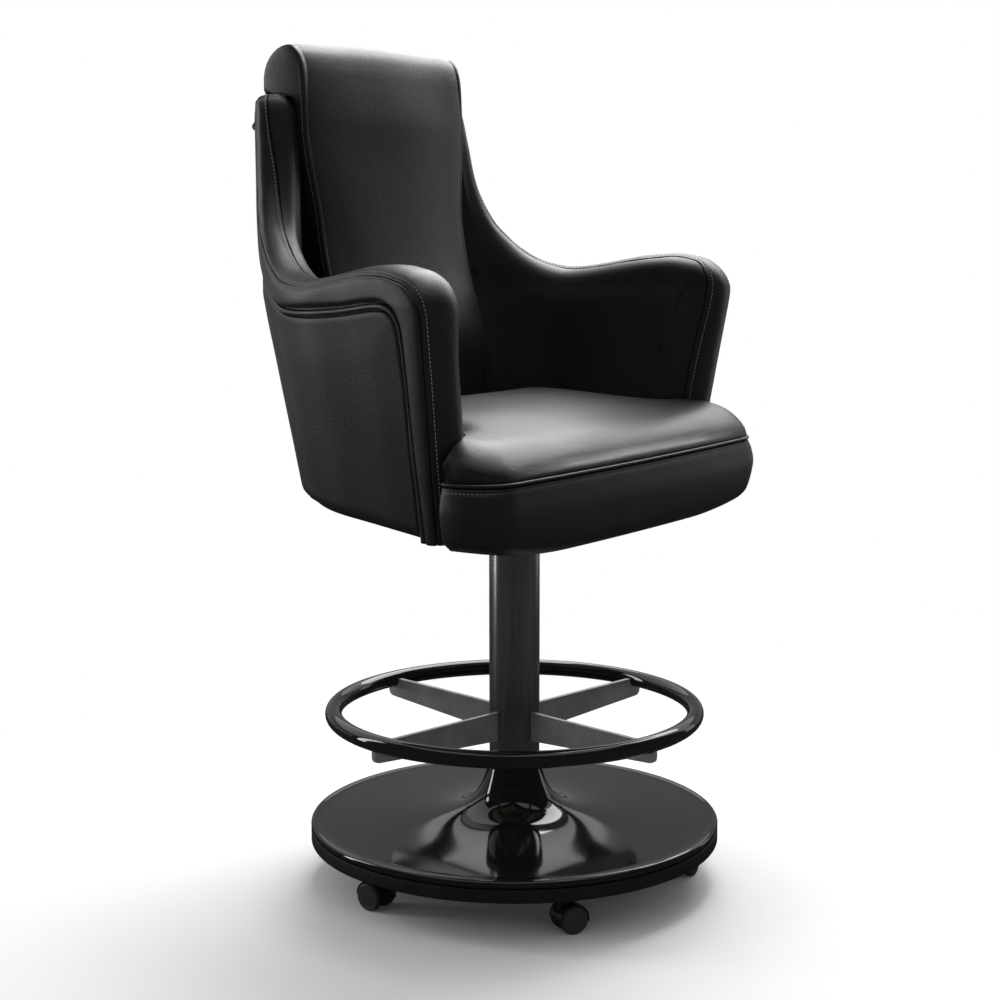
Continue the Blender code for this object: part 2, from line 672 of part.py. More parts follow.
def build_swivel_base(root, mats):
    """The plug in the column's head, whose bore guides the spindle, and the ball cage on it."""
    bore = SPINDLE_RADIUS + GAP
    plug = COLUMN_RADIUS - COLUMN_WALL - GAP
    seat = COLUMN_TOP + GAP
    profile = [(bore, HOUSING_BOTTOM), (plug, HOUSING_BOTTOM), (plug, seat), (HOUSING_FLANGE_RADIUS, seat),
               (HOUSING_FLANGE_RADIUS, FLANGE_TOP), (bore, FLANGE_TOP)]
    add_object("swivel_housing", lathe_mesh("swivel_housing", profile, COLUMN_FACETS), mats["nylon"], root)
    low, high = BALL_LEVEL - CAGE_THICKNESS / 2.0, BALL_LEVEL + CAGE_THICKNESS / 2.0
    inner, outer = RACE_INNER + CAGE_MARGIN, RACE_OUTER - CAGE_MARGIN
    cage = lathe_mesh("ball_cage", [(inner, low), (outer, low), (outer, high), (inner, high)], COLUMN_FACETS)
    bm = bmesh.new()
    for i in range(BALL_COUNT):
        place = on_circle((RACE_INNER + RACE_OUTER) / 2.0, math.tau * i / BALL_COUNT)
        profile = [(0.0, BALL_LEVEL - BALL_RADIUS)]
        for k in range(1, BALL_STEPS):
            angle = math.pi * k / BALL_STEPS
            profile.append((BALL_RADIUS * math.sin(angle), BALL_LEVEL - BALL_RADIUS * math.cos(angle)))
        profile.append((0.0, BALL_LEVEL + BALL_RADIUS))
        add_lathe(bm, profile, BALL_FACETS, place)
    mesh = combine("ball_cage", cage, [finish_mesh("balls", bm)], "UNION")
    add_object("ball_cage", mesh, mats["bearing_steel"], root)


def build_swivel_seat(pivot, mats):
    race_top = UPPER_RACE_BOTTOM + RACE_THICKNESS
    race = [(RACE_INNER, UPPER_RACE_BOTTOM), (RACE_OUTER, UPPER_RACE_BOTTOM), (RACE_OUTER, race_top),
            (RACE_INNER, race_top)]
    add_object("upper_race", lathe_mesh("upper_race", race, COLUMN_FACETS), mats["bearing_steel"], pivot)
    hub_top = HUB_BOTTOM + HUB_THICKNESS
    spindle = [(0.0, SPINDLE_BOTTOM), (SPINDLE_RADIUS, SPINDLE_BOTTOM), (SPINDLE_RADIUS, HUB_BOTTOM),
               (HUB_RADIUS, HUB_BOTTOM), (HUB_RADIUS, hub_top), (0.0, hub_top)]
    mesh = lathe_mesh("swivel_spindle", spindle, COLUMN_FACETS)
    add_object("swivel_spindle", mesh, mats["plain_steel"], pivot)
    nut_top = HOUSING_BOTTOM - RUNNING_GAP
    nut_bottom = nut_top - NUT_HEIGHT
    bore = SPINDLE_RADIUS + GAP
    nut = [(bore, nut_bottom), (NUT_RADIUS, nut_bottom), (NUT_RADIUS, nut_top), (bore, nut_top)]
    add_object("spindle_nut", lathe_mesh("spindle_nut", nut, COLUMN_FACETS), mats["zinc"], pivot)
    inner = COLUMN_RADIUS + SHROUD_CLEARANCE
    outer = inner + SHROUD_WALL
    top = PLATE_BOTTOM - GAP
    bottom = COLUMN_TOP - SHROUD_DROP
    shroud = [(inner, bottom), (outer, bottom), (outer, top), (inner, top)]
    mesh = lathe_mesh("bearing_shroud", shroud, COLUMN_FACETS)
    add_object("bearing_shroud", mesh, mats["satin_black"], pivot)


# Tub shape


def catmull(points, steps):
    """A smooth curve through points, as a list with steps pieces in each span."""
    points = [Vector(p) for p in points]
    padded = [2.0 * points[0] - points[1], *points, 2.0 * points[-1] - points[-2]]
    curve = []
    for a, b, c, d in zip(padded, padded[1:], padded[2:], padded[3:]):
        for i in range(steps):
            t = i / steps
            curve.append((2.0 * b + (c - a) * t + (2.0 * a - 5.0 * b + 4.0 * c - d) * t ** 2
                          + (3.0 * b - a - 3.0 * c + d) * t ** 3) / 2.0)
    curve.append(points[-1])
    return curve


def walk(curve, distance):
    """The point at a distance along a curve, and the curve's direction there."""
    last = len(curve) - 1
    for i in range(last):
        piece = (curve[i + 1] - curve[i]).length
        if distance <= piece or i == last - 1:
            t = distance / piece
            before = curve[i + 1] - curve[max(i - 1, 0)]
            after = curve[min(i + 2, last)] - curve[i]
            along = before.normalized() * (1.0 - t) + after.normalized() * t
            return curve[i].lerp(curve[i + 1], t), along.normalized()
        distance -= piece


def length_of(curve):
    return sum((b - a).length for a, b in zip(curve, curve[1:]))


def plan_curve():
    half = []
    for x_share, y_share in TUB_PLAN_SHARES:
        half.append((-x_share * TUB_HALF_WIDTH, y_share * (TUB_BACK if y_share > 0.0 else TUB_FRONT)))
    mirrored = [(-x, y) for x, y in half[-2::-1]]
    return catmull(half + mirrored, PLAN_STEPS)


PLAN = plan_curve()
PLAN_HALF = length_of(PLAN) / 2.0


def smooth_step(value, low, high):
    t = min(1.0, max(0.0, (value - low) / (high - low)))
    return t * t * (3.0 - 2.0 * t)


def from_front(s):
    """The distance from the nearer front end of the tub."""
    return min(s, 2.0 * PLAN_HALF - s)


def half_thickness(s):
    blend = smooth_step(from_front(s) / PLAN_HALF, THICK_ARM_SHARE, THIN_BACK_SHARE)
    return (ARM_THICKNESS + (BACK_THICKNESS - ARM_THICKNESS) * blend) / 2.0


def tub_scale(z):
    return 1.0 - max(0.0, ARM_LEVEL - z) / TUB_TAPER_HEIGHT


def tub_point(s, z, n):
    """The point of the tub at a distance s round its plan, at height z, offset n outwards."""
    place, along = walk(PLAN, s)
    scale = tub_scale(z)
    lean = BACK_LEAN * max(0.0, z - ARM_LEVEL) * max(0.0, place.y / TUB_BACK)
    return (place.x * scale - along.y * n, place.y * scale + along.x * n + lean, z)


def tub_bottom(s):
    return TUB_BOTTOM_FRONT + TUB_BOTTOM_SLOPE * min(from_front(s), TUB_BOTTOM_LEVEL_SHARE * PLAN_HALF)


def edge_outline():
    """The edge of the tub's left half as (s, z), from the knuckle's front to the middle."""
    points = []
    for i in range(KNUCKLE_STEPS + 1):
        angle = KNUCKLE_ARC * i / KNUCKLE_STEPS
        rise = KNUCKLE_RADIUS * math.sin(angle)
        points.append((KNUCKLE_RADIUS * (1.0 - math.cos(angle)), KNUCKLE_HEIGHT + rise))
    points += [(s * PLAN_HALF, ARM_DIP + share * (ARM_TOP - ARM_DIP)) for s, share in ARM_TOP_SHARES]
    points += [(s * PLAN_HALF, ARM_DIP + share * (WING_TOP - ARM_DIP)) for s, share in WING_SHARES]
    curve = catmull(points, PLAN_STEPS)
    total = length_of(curve)
    count = round(total / OUTLINE_STEP)
    return [walk(curve, total * i / count)[0] for i in range(count + 1)]


def inset_outline(outline, depth):
    """The outline moved inwards by depth, point for point."""
    moved = []
    last = len(outline) - 1
    for i, p in enumerate(outline):
        along = (outline[min(i + 1, last)] - outline[max(i - 1, 0)]).normalized()
        if i == 0:
            along = Vector((0.0, 1.0))
        if i == last:
            along = Vector((1.0, 0.0))
        moved.append(p + Vector((along.y, -along.x)) * depth)
    return moved


EDGE = edge_outline()
CORE_EDGE = inset_outline(EDGE, BAND_HEIGHT)


def interpolate(table, key):
    """The value at key in a rising table of (key, value)."""
    for (a, low), (b, high) in zip(table, table[1:]):
        if a <= key <= b:
            return low + (high - low) * (key - a) / (b - a)
    return table[-1][1] if key > table[-1][0] else table[0][1]


def inset_height(s, depth):
    """The height at s of the line that keeps depth below the edge of the tub."""
    s = from_front(s)
    best = WING_TOP - depth
    for a, b in zip(EDGE, EDGE[1:]):
        for k in range(PLAN_STEPS):
            p = a + (b - a) * (k / PLAN_STEPS)
            off = abs(p.x - s)
            if off < depth:
                best = min(best, p.y - math.sqrt(depth * depth - off * off))
    return best


def tub_columns():
    """Pairs (s, top of the core) from the left arm round to the right arm."""
    left = [(p.x, p.y) for p in CORE_EDGE]
    left += [(s, interpolate(left, s)) for s in (BORDER, BORDER + PANEL_STEP)]
    left.sort()
    right = [(2.0 * PLAN_HALF - s, z) for s, z in left[-2::-1]]
    return left + right


COLUMNS = tub_columns()


def inner_face(z, clearance):
    """The tub's inner face at height z, as (x, y) from the left arm's front to the middle."""
    points = []
    for s, top in COLUMNS:
        if s <= PLAN_HALF:
            x, y, level = tub_point(s, z, -half_thickness(s) - clearance)
            points.append((x, y))
    return points


def inner_x(y, z, clearance):
    """Half the width between the inner faces at y."""
    return -interpolate([(q, p) for p, q in inner_face(z, clearance)], y)


def inner_y(x, z, clearance):
    """How far back the inner face is at x."""
    return interpolate(inner_face(z, clearance), -abs(x))


def panel_levels(s, depth):
    """Foot, middle, knee and head of the recess for the outside panel."""
    s = min(max(s, depth), 2.0 * PLAN_HALF - depth)
    low = tub_bottom(s) + PANEL_FOOT
    high = inset_height(s, depth)
    knee = min(ARM_LEVEL, high - 2.0 * PANEL_LIP)
    return low, (low + knee) / 2.0, knee, high


def tub_section(s, core_top):
    half = half_thickness(s)
    bottom = tub_bottom(s)
    recess = RECESS if from_front(s) > BORDER + PANEL_STEP / 2.0 else 0.0
    low, middle, knee, high = panel_levels(s, BORDER)
    high = min(high, core_top - PANEL_STEP)
    knee = min(knee, high - 2.0 * PANEL_STEP)
    deep = half - recess
    inner_knee = min(ARM_LEVEL, core_top - PANEL_STEP)
    rounded = half - TUB_BOTTOM_ROUND
    pairs = [(rounded, bottom), (half, bottom + TUB_BOTTOM_ROUND), (half, low),
             (deep, low + PANEL_STEP), (deep, middle), (deep, knee), (deep, high - PANEL_STEP),
             (half, high), (half, core_top), (-half, core_top), (-half, inner_knee),
             (-half, bottom + TUB_BOTTOM_ROUND), (-rounded, bottom)]
    return [tub_point(s, z, n) for n, z in pairs]


def mirror_x(loops):
    return [[(-x, y, z) for x, y, z in loop] for loop in loops]


def build_tub(pivot, mats):
    loops = [tub_section(s, top) for s, top in COLUMNS]
    shell = loft_mesh("tub_shell", loops, middle=len(loops) // 2)
    add_object("tub_shell", shell, mats["leather"], pivot)
    skin = panel_loops()
    panel = loft_mesh("outside_panel", skin, middle=len(skin) // 2)
    add_object("outside_panel", panel, mats["leather_dark"], pivot)
    band = band_loops()
    lining = lining_loops()
    for side in ("left", "right"):
        add_object(f"arm_band_{side}", loft_mesh("arm_band", band), mats["leather"], pivot)
        add_object(f"inner_lining_{side}", loft_mesh("inner_lining", lining), mats["leather"], pivot)
        band = mirror_x(band)
        lining = mirror_x(lining)


def band_section(base, crown):
    """A section of the band from a point of the core's edge out to the tub's edge."""
    start = base + (crown - base).normalized() * GAP
    half = half_thickness(base.x)
    loop = []
    for across, height in BAND_CROWN_SHARES:
        p = start + (crown - start) * height
        loop.append(tub_point(p.x, p.y, across * half))
    return loop


def band_loops():
    """The left band: up the arm's front, over the arm and the wing to the middle."""
    loops = []
    bottom = tub_bottom(0.0)
    for i in range(BAND_FRONT_STEPS):
        z = bottom + (KNUCKLE_HEIGHT - bottom) * i / BAND_FRONT_STEPS
        loops.append(band_section(Vector((BAND_HEIGHT, z)), Vector((0.0, z))))
    loops += [band_section(base, crown) for base, crown in zip(CORE_EDGE, EDGE)]
    loops[-1] = [(-GAP / 2.0, y, z) for x, y, z in loops[-1]]
    return loops


def panel_loops():
    """One skin for both sides and the back, a groove smaller than its recess."""
    start = BORDER + PANEL_STEP + PANEL_GROOVE
    end = 2.0 * PLAN_HALF - start
    places = [start] + [s for s, top in COLUMNS if start < s < end] + [end]
    loops = []
    for s in places:
        half = half_thickness(s)
        low, middle, knee, high = panel_levels(s, BORDER + PANEL_GROOVE)
        low += PANEL_GROOVE
        under = half - RECESS + GAP
        face = half - PANEL_SINK
        edge = face - PANEL_LIP
        pairs = [(under, low), (edge, low), (face, low + PANEL_LIP), (face, middle), (face, knee),
                 (face, high - PANEL_LIP), (edge, high), (under, high), (under, knee), (under, middle)]
        loops.append([tub_point(s, z, n) for n, z in pairs])
    return loops


def lining_loops():
    """The left lining, on the tub's inner face from the arm's front to beside the pad."""
    loops = []
    for s, top in COLUMNS:
        half = half_thickness(s)
        if s <= LINING_START or s > PLAN_HALF or tub_point(s, ARM_LEVEL, -half)[0] > -LINING_END_X:
            continue
        low = BOARD_TOP + GAP
        high = inset_height(s, LINING_TOP_INSET)
        knee = min(ARM_LEVEL, high - PANEL_STEP)
        face_knee = min(ARM_LEVEL, high - 2.0 * LINING_ROUND)
        under = half + GAP
        face = half + LINING_THICKNESS
        edge = face - LINING_ROUND
        pairs = [(under, low), (under, knee), (under, high), (edge, high), (face, high - LINING_ROUND),
                 (face, face_knee), (face, low)]
        loops.append([tub_point(s, z, -n) for n, z in pairs])
    return loops


# Seat frame


def build_seat_frame(pivot, mats):
    bolt_places = [(x, y) for x in (-SEAT_BOLT_HALF_X, SEAT_BOLT_HALF_X)
                   for y in (-SEAT_BOLT_HALF_Y, SEAT_BOLT_HALF_Y)]
    bolt_top = PLATE_TOP + SEAT_BOLT_GRIP
    hole_top = bolt_top + BOLT_END_GAP
    hole_bottom = PLATE_BOTTOM - OVERRUN
    bolt_bore = SEAT_BOLT_RADIUS + GAP
    holes = holes_mesh("seat_holes", bolt_places, bolt_bore, hole_bottom, hole_top)
    outline = rounded_rectangle(PLATE_HALF_X, PLATE_HALF_Y, PLATE_CORNER)
    blank = prism_mesh("seat_plate", outline, PLATE_BOTTOM, PLATE_TOP)
    add_object("seat_plate", combine("seat_plate", blank, [holes], "DIFFERENCE"), mats["plain_steel"], pivot)
    seat = PLATE_BOTTOM - GAP
    bolt = lathe_mesh("seat_bolt", bolt_profile(seat, bolt_top, SEAT_BOLT_RADIUS, SEAT_BOLT_HEAD_RADIUS,
                                                SEAT_BOLT_HEAD), BOLT_FACETS)
    for i, (x, y) in enumerate(bolt_places):
        add_object(f"seat_bolt_{i + 1}", bolt, mats["zinc"], pivot, (x, y, 0.0))
    for name, middle in (("front_bearer", -SEAT_BOLT_HALF_Y), ("rear_bearer", SEAT_BOLT_HALF_Y)):
        holes = holes_mesh("bearer_holes", bolt_places, bolt_bore, hole_bottom, hole_top)
        blank = box_mesh(name, (-BEARER_HALF_LENGTH, middle - BEARER_WIDTH / 2.0, BEARER_BOTTOM),
                         (BEARER_HALF_LENGTH, middle + BEARER_WIDTH / 2.0, BEARER_TOP))
        add_object(name, combine(name, blank, [holes], "DIFFERENCE"), mats["timber"], pivot)
    board = [board_loop(z) for z in (BOARD_BOTTOM, BOARD_TOP)]
    add_object("seat_board", loft_mesh("seat_board", board), mats["plywood"], pivot)
    front_rail = [front_rail_loop(z) for z in (FRONT_RAIL_BOTTOM, BOARD_BOTTOM - GAP)]
    add_object("front_rail", loft_mesh("front_rail", front_rail), mats["timber"], pivot)


def box_mesh(name, low, high):
    outline = [(low[0], low[1]), (high[0], low[1]), (high[0], high[1]), (low[0], high[1])]
    return prism_mesh(name, outline, low[2], high[2])


def board_loop(z):
    """The board's outline at height z: inside the tub, and straight behind the cushion's apron."""
    front = -EAR_REAR + GAP
    half = inner_x(front, z, GAP)
    left = [(-half, front)] + [p for p in inner_face(z, GAP) if p[1] > front + PANEL_STEP]
    right = [(-x, y) for x, y in left[-2::-1]]
    return [(x, y, z) for x, y in left + right]


def front_rail_loop(z):
    front = -EAR_REAR + GAP
    rear = front + FRONT_RAIL_THICKNESS
    near, far = inner_x(front, z, GAP), inner_x(rear, z, GAP)
    return [(-near, front, z), (near, front, z), (far, rear, z), (-far, rear, z)]


# Seat cushion


def cushion_rows(z, inset):
    """Rows (y, half width) of the cushion's T-shaped plan, from the front to the rear."""
    half = CUSHION_HALF_WIDTH - inset
    front = -CUSHION_FRONT + inset
    rows = []
    for i in range(CUSHION_CORNER_ROWS + 1):
        angle = math.tau / 4.0 * i / CUSHION_CORNER_ROWS
        rows.append((front + CUSHION_CORNER * (1.0 - math.cos(angle)),
                     half - CUSHION_CORNER * (1.0 - math.sin(angle))))
    rows.append((-EAR_REAR, half))
    wall = LINING_THICKNESS + CUSHION_CLEARANCE
    first = -EAR_REAR + WELT_RADIUS
    last = CUSHION_REAR - CUSHION_REAR_CORNER
    for i in range(CUSHION_SIDE_ROWS + 1):
        y = first + (last - first) * i / CUSHION_SIDE_ROWS
        rows.append((y, inner_x(y, z, wall)))
    side = rows[-1][1]
    for i in range(1, CUSHION_REAR_ROWS + 1):
        angle = math.tau / 4.0 * i / CUSHION_REAR_ROWS
        rows.append((last + CUSHION_REAR_CORNER * math.sin(angle),
                     side - CUSHION_REAR_CORNER * (1.0 - math.cos(angle))))
    return rows


def cushion_grid(z, inset):
    """Points (x, y) of the plan, row by row, with the front edge bowed forwards."""
    rows = cushion_rows(z, inset)
    front = rows[0][0]
    grid = []
    for y, half in rows:
        fade = max(0.0, (-EAR_REAR - y) / (-EAR_REAR - front))
        row = []
        for j in range(CUSHION_COLUMNS + 1):
            x = half * (2.0 * j / CUSHION_COLUMNS - 1.0)
            row.append((x, y - CUSHION_BOW * fade * (1.0 - (x / CUSHION_HALF_WIDTH) ** 2)))
        grid.append(row)
    return grid


def border_of(grid):
    """The outer points of a grid in order: front, right, rear and left."""
    right = [row[-1] for row in grid[1:]]
    left = [row[0] for row in grid[-2:0:-1]]
    return grid[0] + right + grid[-1][-2::-1] + left


def apron_border(z, inset):
    """The border at the cushion's lower front, where nothing reaches behind the ears."""
    return [(x, min(y, -EAR_REAR)) for x, y in border_of(cushion_grid(z, inset))]


def behind_ear(a, b):
    """Whether an edge of the border is the rear of an ear, which presses on the arm's front."""
    return min(a[1], b[1]) >= -EAR_REAR and max(a[1], b[1]) <= -EAR_REAR + WELT_RADIUS


def crown_rise(x, y, border):
    """How far the top stands above the welt: nothing at the border, most towards the rear."""
    edges = [(a, b) for a, b in zip(border, border[1:] + border[:1]) if not behind_ear(a, b)]
    away = min(distance_to(x, y, a, b) for a, b in edges)
    edge = quarter_round(away / CROWN_EDGE)
    run = quarter_round((y + CUSHION_FRONT) / CROWN_RUN)
    share = CROWN_FRONT_SHARE + (1.0 - CROWN_FRONT_SHARE) * run
    return (CUSHION_TOP - WELT_LEVEL - WELT_RADIUS) * edge * share


def quarter_round(t):
    t = min(1.0, max(0.0, t))
    return math.sqrt(1.0 - (1.0 - t) ** 2)


def distance_to(x, y, a, b):
    point, start, end = Vector((x, y)), Vector(a), Vector(b)
    run = end - start
    t = min(1.0, max(0.0, (point - start).dot(run) / run.length_squared))
    return (point - start - run * t).length


def swept_up(x, z):
    """How far the box's lower edge is raised towards its sides, fading out to the shelf."""
    fade = min(1.0, max(0.0, (BOARD_TOP - z) / (BOARD_TOP - CUSHION_BOTTOM)))
    side = max(0.0, abs(x) / CUSHION_HALF_WIDTH - CUSHION_SWEEP_SHARE) / (1.0 - CUSHION_SWEEP_SHARE)
    return CUSHION_SWEEP * fade * side ** 2


def build_cushion(pivot, mats):
    bm = bmesh.new()
    shelf = BOARD_TOP + GAP
    levels = [(CUSHION_BOTTOM + share * (WELT_LEVEL - WELT_RADIUS - CUSHION_BOTTOM), inset * CUSHION_TUCK)
              for share, inset in BOX_SHARES]
    levels.append((shelf, interpolate(levels, shelf)))
    levels.sort()
    levels += [(WELT_LEVEL - WELT_RADIUS, 0.0), (WELT_LEVEL, -WELT_RADIUS)]
    rings = []
    for z, inset in levels:
        border = apron_border(z, inset) if z <= shelf else border_of(cushion_grid(z, inset))
        rings.append([(x, y, z + swept_up(x, z)) for x, y in border])
        if z == shelf:
            rings.append([(x, y, z) for x, y in border_of(cushion_grid(z, inset))])
    top = WELT_LEVEL + WELT_RADIUS
    grid = cushion_grid(top, 0.0)
    border = border_of(grid)
    rings.append([(x, y, top) for x, y in border])
    rows = [[bm.verts.new(p) for p in ring] for ring in rings]
    for low, high in zip(rows, rows[1:]):
        for i in range(len(low)):
            j = (i + 1) % len(low)
            bm.faces.new((low[i], low[j], high[j], high[i]))
    bm.faces.new(rows[0])
    add_crown(bm, grid, border, dict(zip(border, rows[-1])), top)
    add_object("seat_cushion", finish_mesh("seat_cushion", bm), mats["leather"], pivot)


def add_crown(bm, grid, border, rim, level):
    verts = []
    for row in grid:
        verts.append([rim.get(p) or bm.verts.new((*p, level + crown_rise(*p, border))) for p in row])
    for near, far in zip(verts, verts[1:]):
        for j in range(len(near) - 1):
            bm.faces.new((near[j], near[j + 1], far[j + 1], far[j]))


# Back pad


def pad_front(z):
    share = (z - PAD_BOTTOM) / (PAD_TOP - PAD_BOTTOM)
    return PAD_WAIST_Y + (PAD_HEAD_Y - PAD_WAIST_Y) * interpolate(PAD_FRONT_SHARES, share)


def roll_in(z, radius):
    """How far a quarter round of this radius, ending at the pad's top, has drawn in at z."""
    above = min(radius, max(0.0, z - PAD_TOP + radius))
    return radius - math.sqrt(radius ** 2 - above ** 2)


def pad_loop(z):
    """The pad's outline at height z: crowned front, rounded sides, and a rear that lies on
    the tub's inner face and then reaches flat over the tub's top."""
    spread = smooth_step(z, PAD_WAIST_LEVEL, PAD_HEAD_LEVEL)
    half = PAD_HALF_WIDTH + (PAD_HEAD_HALF_WIDTH - PAD_HALF_WIDTH) * spread - roll_in(z, PAD_TOP_CORNER)
    front = pad_front(z)
    head = PAD_HEAD_REAR - roll_in(z, PAD_HEAD_ROLL)
    crown = PAD_CROWN * smooth_step(z, PAD_CROWN_FROM, PAD_CROWN_FULL)
    crown *= 1.0 - roll_in(z, PAD_HEAD_ROLL) / PAD_HEAD_ROLL
    rear = [head if z > WING_TOP else inner_y(share * half, z, GAP) for share in PAD_ACROSS_SHARES]
    corner = min(PAD_SIDE_ROUND, PAD_ROUND_SHARE * (rear[0] - front))
    inside = half - corner
    points = [(share * inside, front - crown * (1.0 - share * share)) for share in PAD_ACROSS_SHARES]
    side = [(half - corner * PAD_ROUND_SHARE, front + corner * PAD_ROUND_SHARE), (half, front + corner),
            (half, (front + rear[0]) / 2.0), (half, rear[0] - corner),
            (half - corner * PAD_ROUND_SHARE, rear[0] - corner * PAD_ROUND_SHARE)]
    points += side
    points += [(share * inside, y) for share, y in zip(PAD_ACROSS_SHARES[::-1], rear[::-1])]
    points += [(-x, y) for x, y in side[::-1]]
    return [(x, y, z) for x, y in points]


def build_pad(pivot, mats):
    levels = {PAD_BOTTOM + share * (PAD_TOP - PAD_BOTTOM) for share, depth in PAD_FRONT_SHARES}
    levels |= {ARM_LEVEL, WING_TOP, WING_TOP + PAD_HEAD_LIFT}
    bm = bmesh.new()
    add_loft(bm, [pad_loop(z) for z in sorted(levels)])
    bm.faces.ensure_lookup_table()
    crown = bmesh.ops.poke(bm, faces=[bm.faces[-1]])
    for vert in crown["verts"]:
        vert.co.z = PAD_TOP
    add_object("back_pad", finish_mesh("back_pad", bm), mats["leather"], pivot)


def make_materials():
    return {
        "gloss_black": make_material("gloss_black", (0.012, 0.012, 0.013), 0.12, 0.2),
        "satin_black": make_material("satin_black", (0.030, 0.030, 0.031), 0.38, 0.6),
        "rubber": make_material("rubber", (0.010, 0.010, 0.010), 0.80),
        "cast_iron": make_material("cast_iron", (0.040, 0.040, 0.042), 0.65, 0.9),
        "plain_steel": make_material("plain_steel", (0.350, 0.350, 0.360), 0.40, 1.0),
        "bearing_steel": make_material("bearing_steel", (0.550, 0.550, 0.570), 0.20, 1.0),
        "zinc": make_material("zinc", (0.500, 0.500, 0.520), 0.35, 1.0),
        "nylon": make_material("nylon", (0.650, 0.640, 0.600), 0.50),
        "caster_black": make_material("caster_black", (0.012, 0.012, 0.013), 0.45),
        "wheel_grey": make_material("wheel_grey", (0.040, 0.042, 0.045), 0.50),
        "plywood": make_material("plywood", (0.480, 0.330, 0.180), 0.70),
        "timber": make_material("timber", (0.520, 0.360, 0.200), 0.75),
        "leather": make_material("leather", (0.020, 0.020, 0.021), 0.42),
        "leather_dark": make_material("leather_dark", (0.016, 0.016, 0.017), 0.45),
    }


def main():
    clear_scene()
    mats = make_materials()
    origin = make_empty("stool_origin", (0.0, COLUMN_Y, 0.0))
    seat_pivot = make_empty("seat_pivot", (0.0, 0.0, 0.0), origin)
    build_base(origin, mats)
    build_casters(origin, mats)
    build_swivel_base(origin, mats)
    build_swivel_seat(seat_pivot, mats)
    build_seat_frame(seat_pivot, mats)
    build_tub(seat_pivot, mats)
    build_cushion(seat_pivot, mats)
    build_pad(seat_pivot, mats)


main()
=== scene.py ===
"""Looks of the upholstered swivel stool: soft pieces, finishes, studio and camera."""
import json
import math

import bpy
import numpy as np
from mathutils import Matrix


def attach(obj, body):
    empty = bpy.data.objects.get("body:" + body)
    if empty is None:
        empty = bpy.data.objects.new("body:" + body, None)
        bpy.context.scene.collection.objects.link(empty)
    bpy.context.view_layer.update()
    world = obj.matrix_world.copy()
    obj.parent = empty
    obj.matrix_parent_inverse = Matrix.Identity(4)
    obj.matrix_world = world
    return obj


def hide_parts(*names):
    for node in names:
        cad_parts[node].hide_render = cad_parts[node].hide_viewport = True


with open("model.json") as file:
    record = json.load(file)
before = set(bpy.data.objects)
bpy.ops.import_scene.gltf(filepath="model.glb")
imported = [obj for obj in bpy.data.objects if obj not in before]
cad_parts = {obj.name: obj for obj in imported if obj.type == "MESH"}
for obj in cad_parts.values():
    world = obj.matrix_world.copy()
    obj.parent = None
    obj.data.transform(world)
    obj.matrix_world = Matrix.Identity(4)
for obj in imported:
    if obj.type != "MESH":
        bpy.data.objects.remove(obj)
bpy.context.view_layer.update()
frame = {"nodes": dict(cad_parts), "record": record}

# Place of the column's axis and levels of the frame, as in the solids
COLUMN_Y = -0.0191
COLUMN_RADIUS = 0.03335
COLUMN_WALL = 0.0025
COLUMN_BOTTOM = 0.0761
COLUMN_TOP = 0.468
BOARD_TOP = 0.5577

# Tub, as in the solids
TUB_HALF_WIDTH = 0.314
TUB_FRONT = 0.135
TUB_BACK = 0.276
PLAN_SHARES = [
    (1.017, -1), (0.94, 0), (0.879, 0.38), (0.774, 0.627), (0.669, 0.783), (0.484, 0.913),
    (0.242, 0.982), (0, 1)
]
ARM_LEVEL = 0.78
TAPER_HEIGHT = 1.6
BACK_LEAN = 0.045
ARM_THICKNESS = 0.066
BACK_THICKNESS = 0.046
THINNING = (0.33, 0.62)
TUB_BOTTOM_FRONT = 0.5
TUB_BOTTOM_SLOPE = 0.068
KNUCKLE_HEIGHT = 0.765
KNUCKLE_RADIUS = 0.055
KNUCKLE_TURN = 80
ARM_TOP = 0.823
ARM_DIP = 0.803
WING_TOP = 1.03
ARM_TOP_SHARES = [(0.125, 1), (0.2, 0.85), (0.283, 0.4), (0.375, 0)]
WING_SHARES = [
    (0.433, 0.013), (0.483, 0.057), (0.533, 0.148), (0.583, 0.291), (0.62, 0.496), (0.641, 0.746),
    (0.655, 0.922), (0.672, 0.982), (0.71, 1), (1, 1)
]
CROWN_HEIGHT = 0.02
CROWN_ACROSS = 2.4
CROWN_UP = 2.2
BEYOND_CROWN = 0.03
SHELL_RECESS = 0.009
ROUND_DEPTH = 0.045
ROUND_FADE = (0.2, 0.34)
PANEL_SINK = 0.004

# Seams round the tub, against the distance u along the edge from the foot of the arm's front.
# Angles are the place across the crown: 0 is its middle, 90 the end of its outer shoulder.
OUTER_SEAM = [
    (0, 63), (0.1, 68), (0.2, 68.6), (0.25, 70), (0.3, 72.5), (0.33, 74), (0.36, 71), (0.4, 62),
    (0.44, 54), (0.48, 50), (0.53, 50), (0.56, 55), (0.6, 61), (0.64, 68), (0.8, 68.6), (0.9, 72),
    (1.1, 72)
]
INNER_SEAM = [
    (0, -111), (0.15, -111), (0.2, -105), (0.25, -93), (0.28, -88), (0.31, -62), (0.335, -34),
    (0.37, -28), (0.4, -36), (0.46, -33), (0.51, -29), (0.56, -18), (0.61, -14), (0.65, -12),
    (0.715, -11), (0.77, 0), (0.82, 9), (0.84, 10), (0.9, 0), (1.1, 0)
]
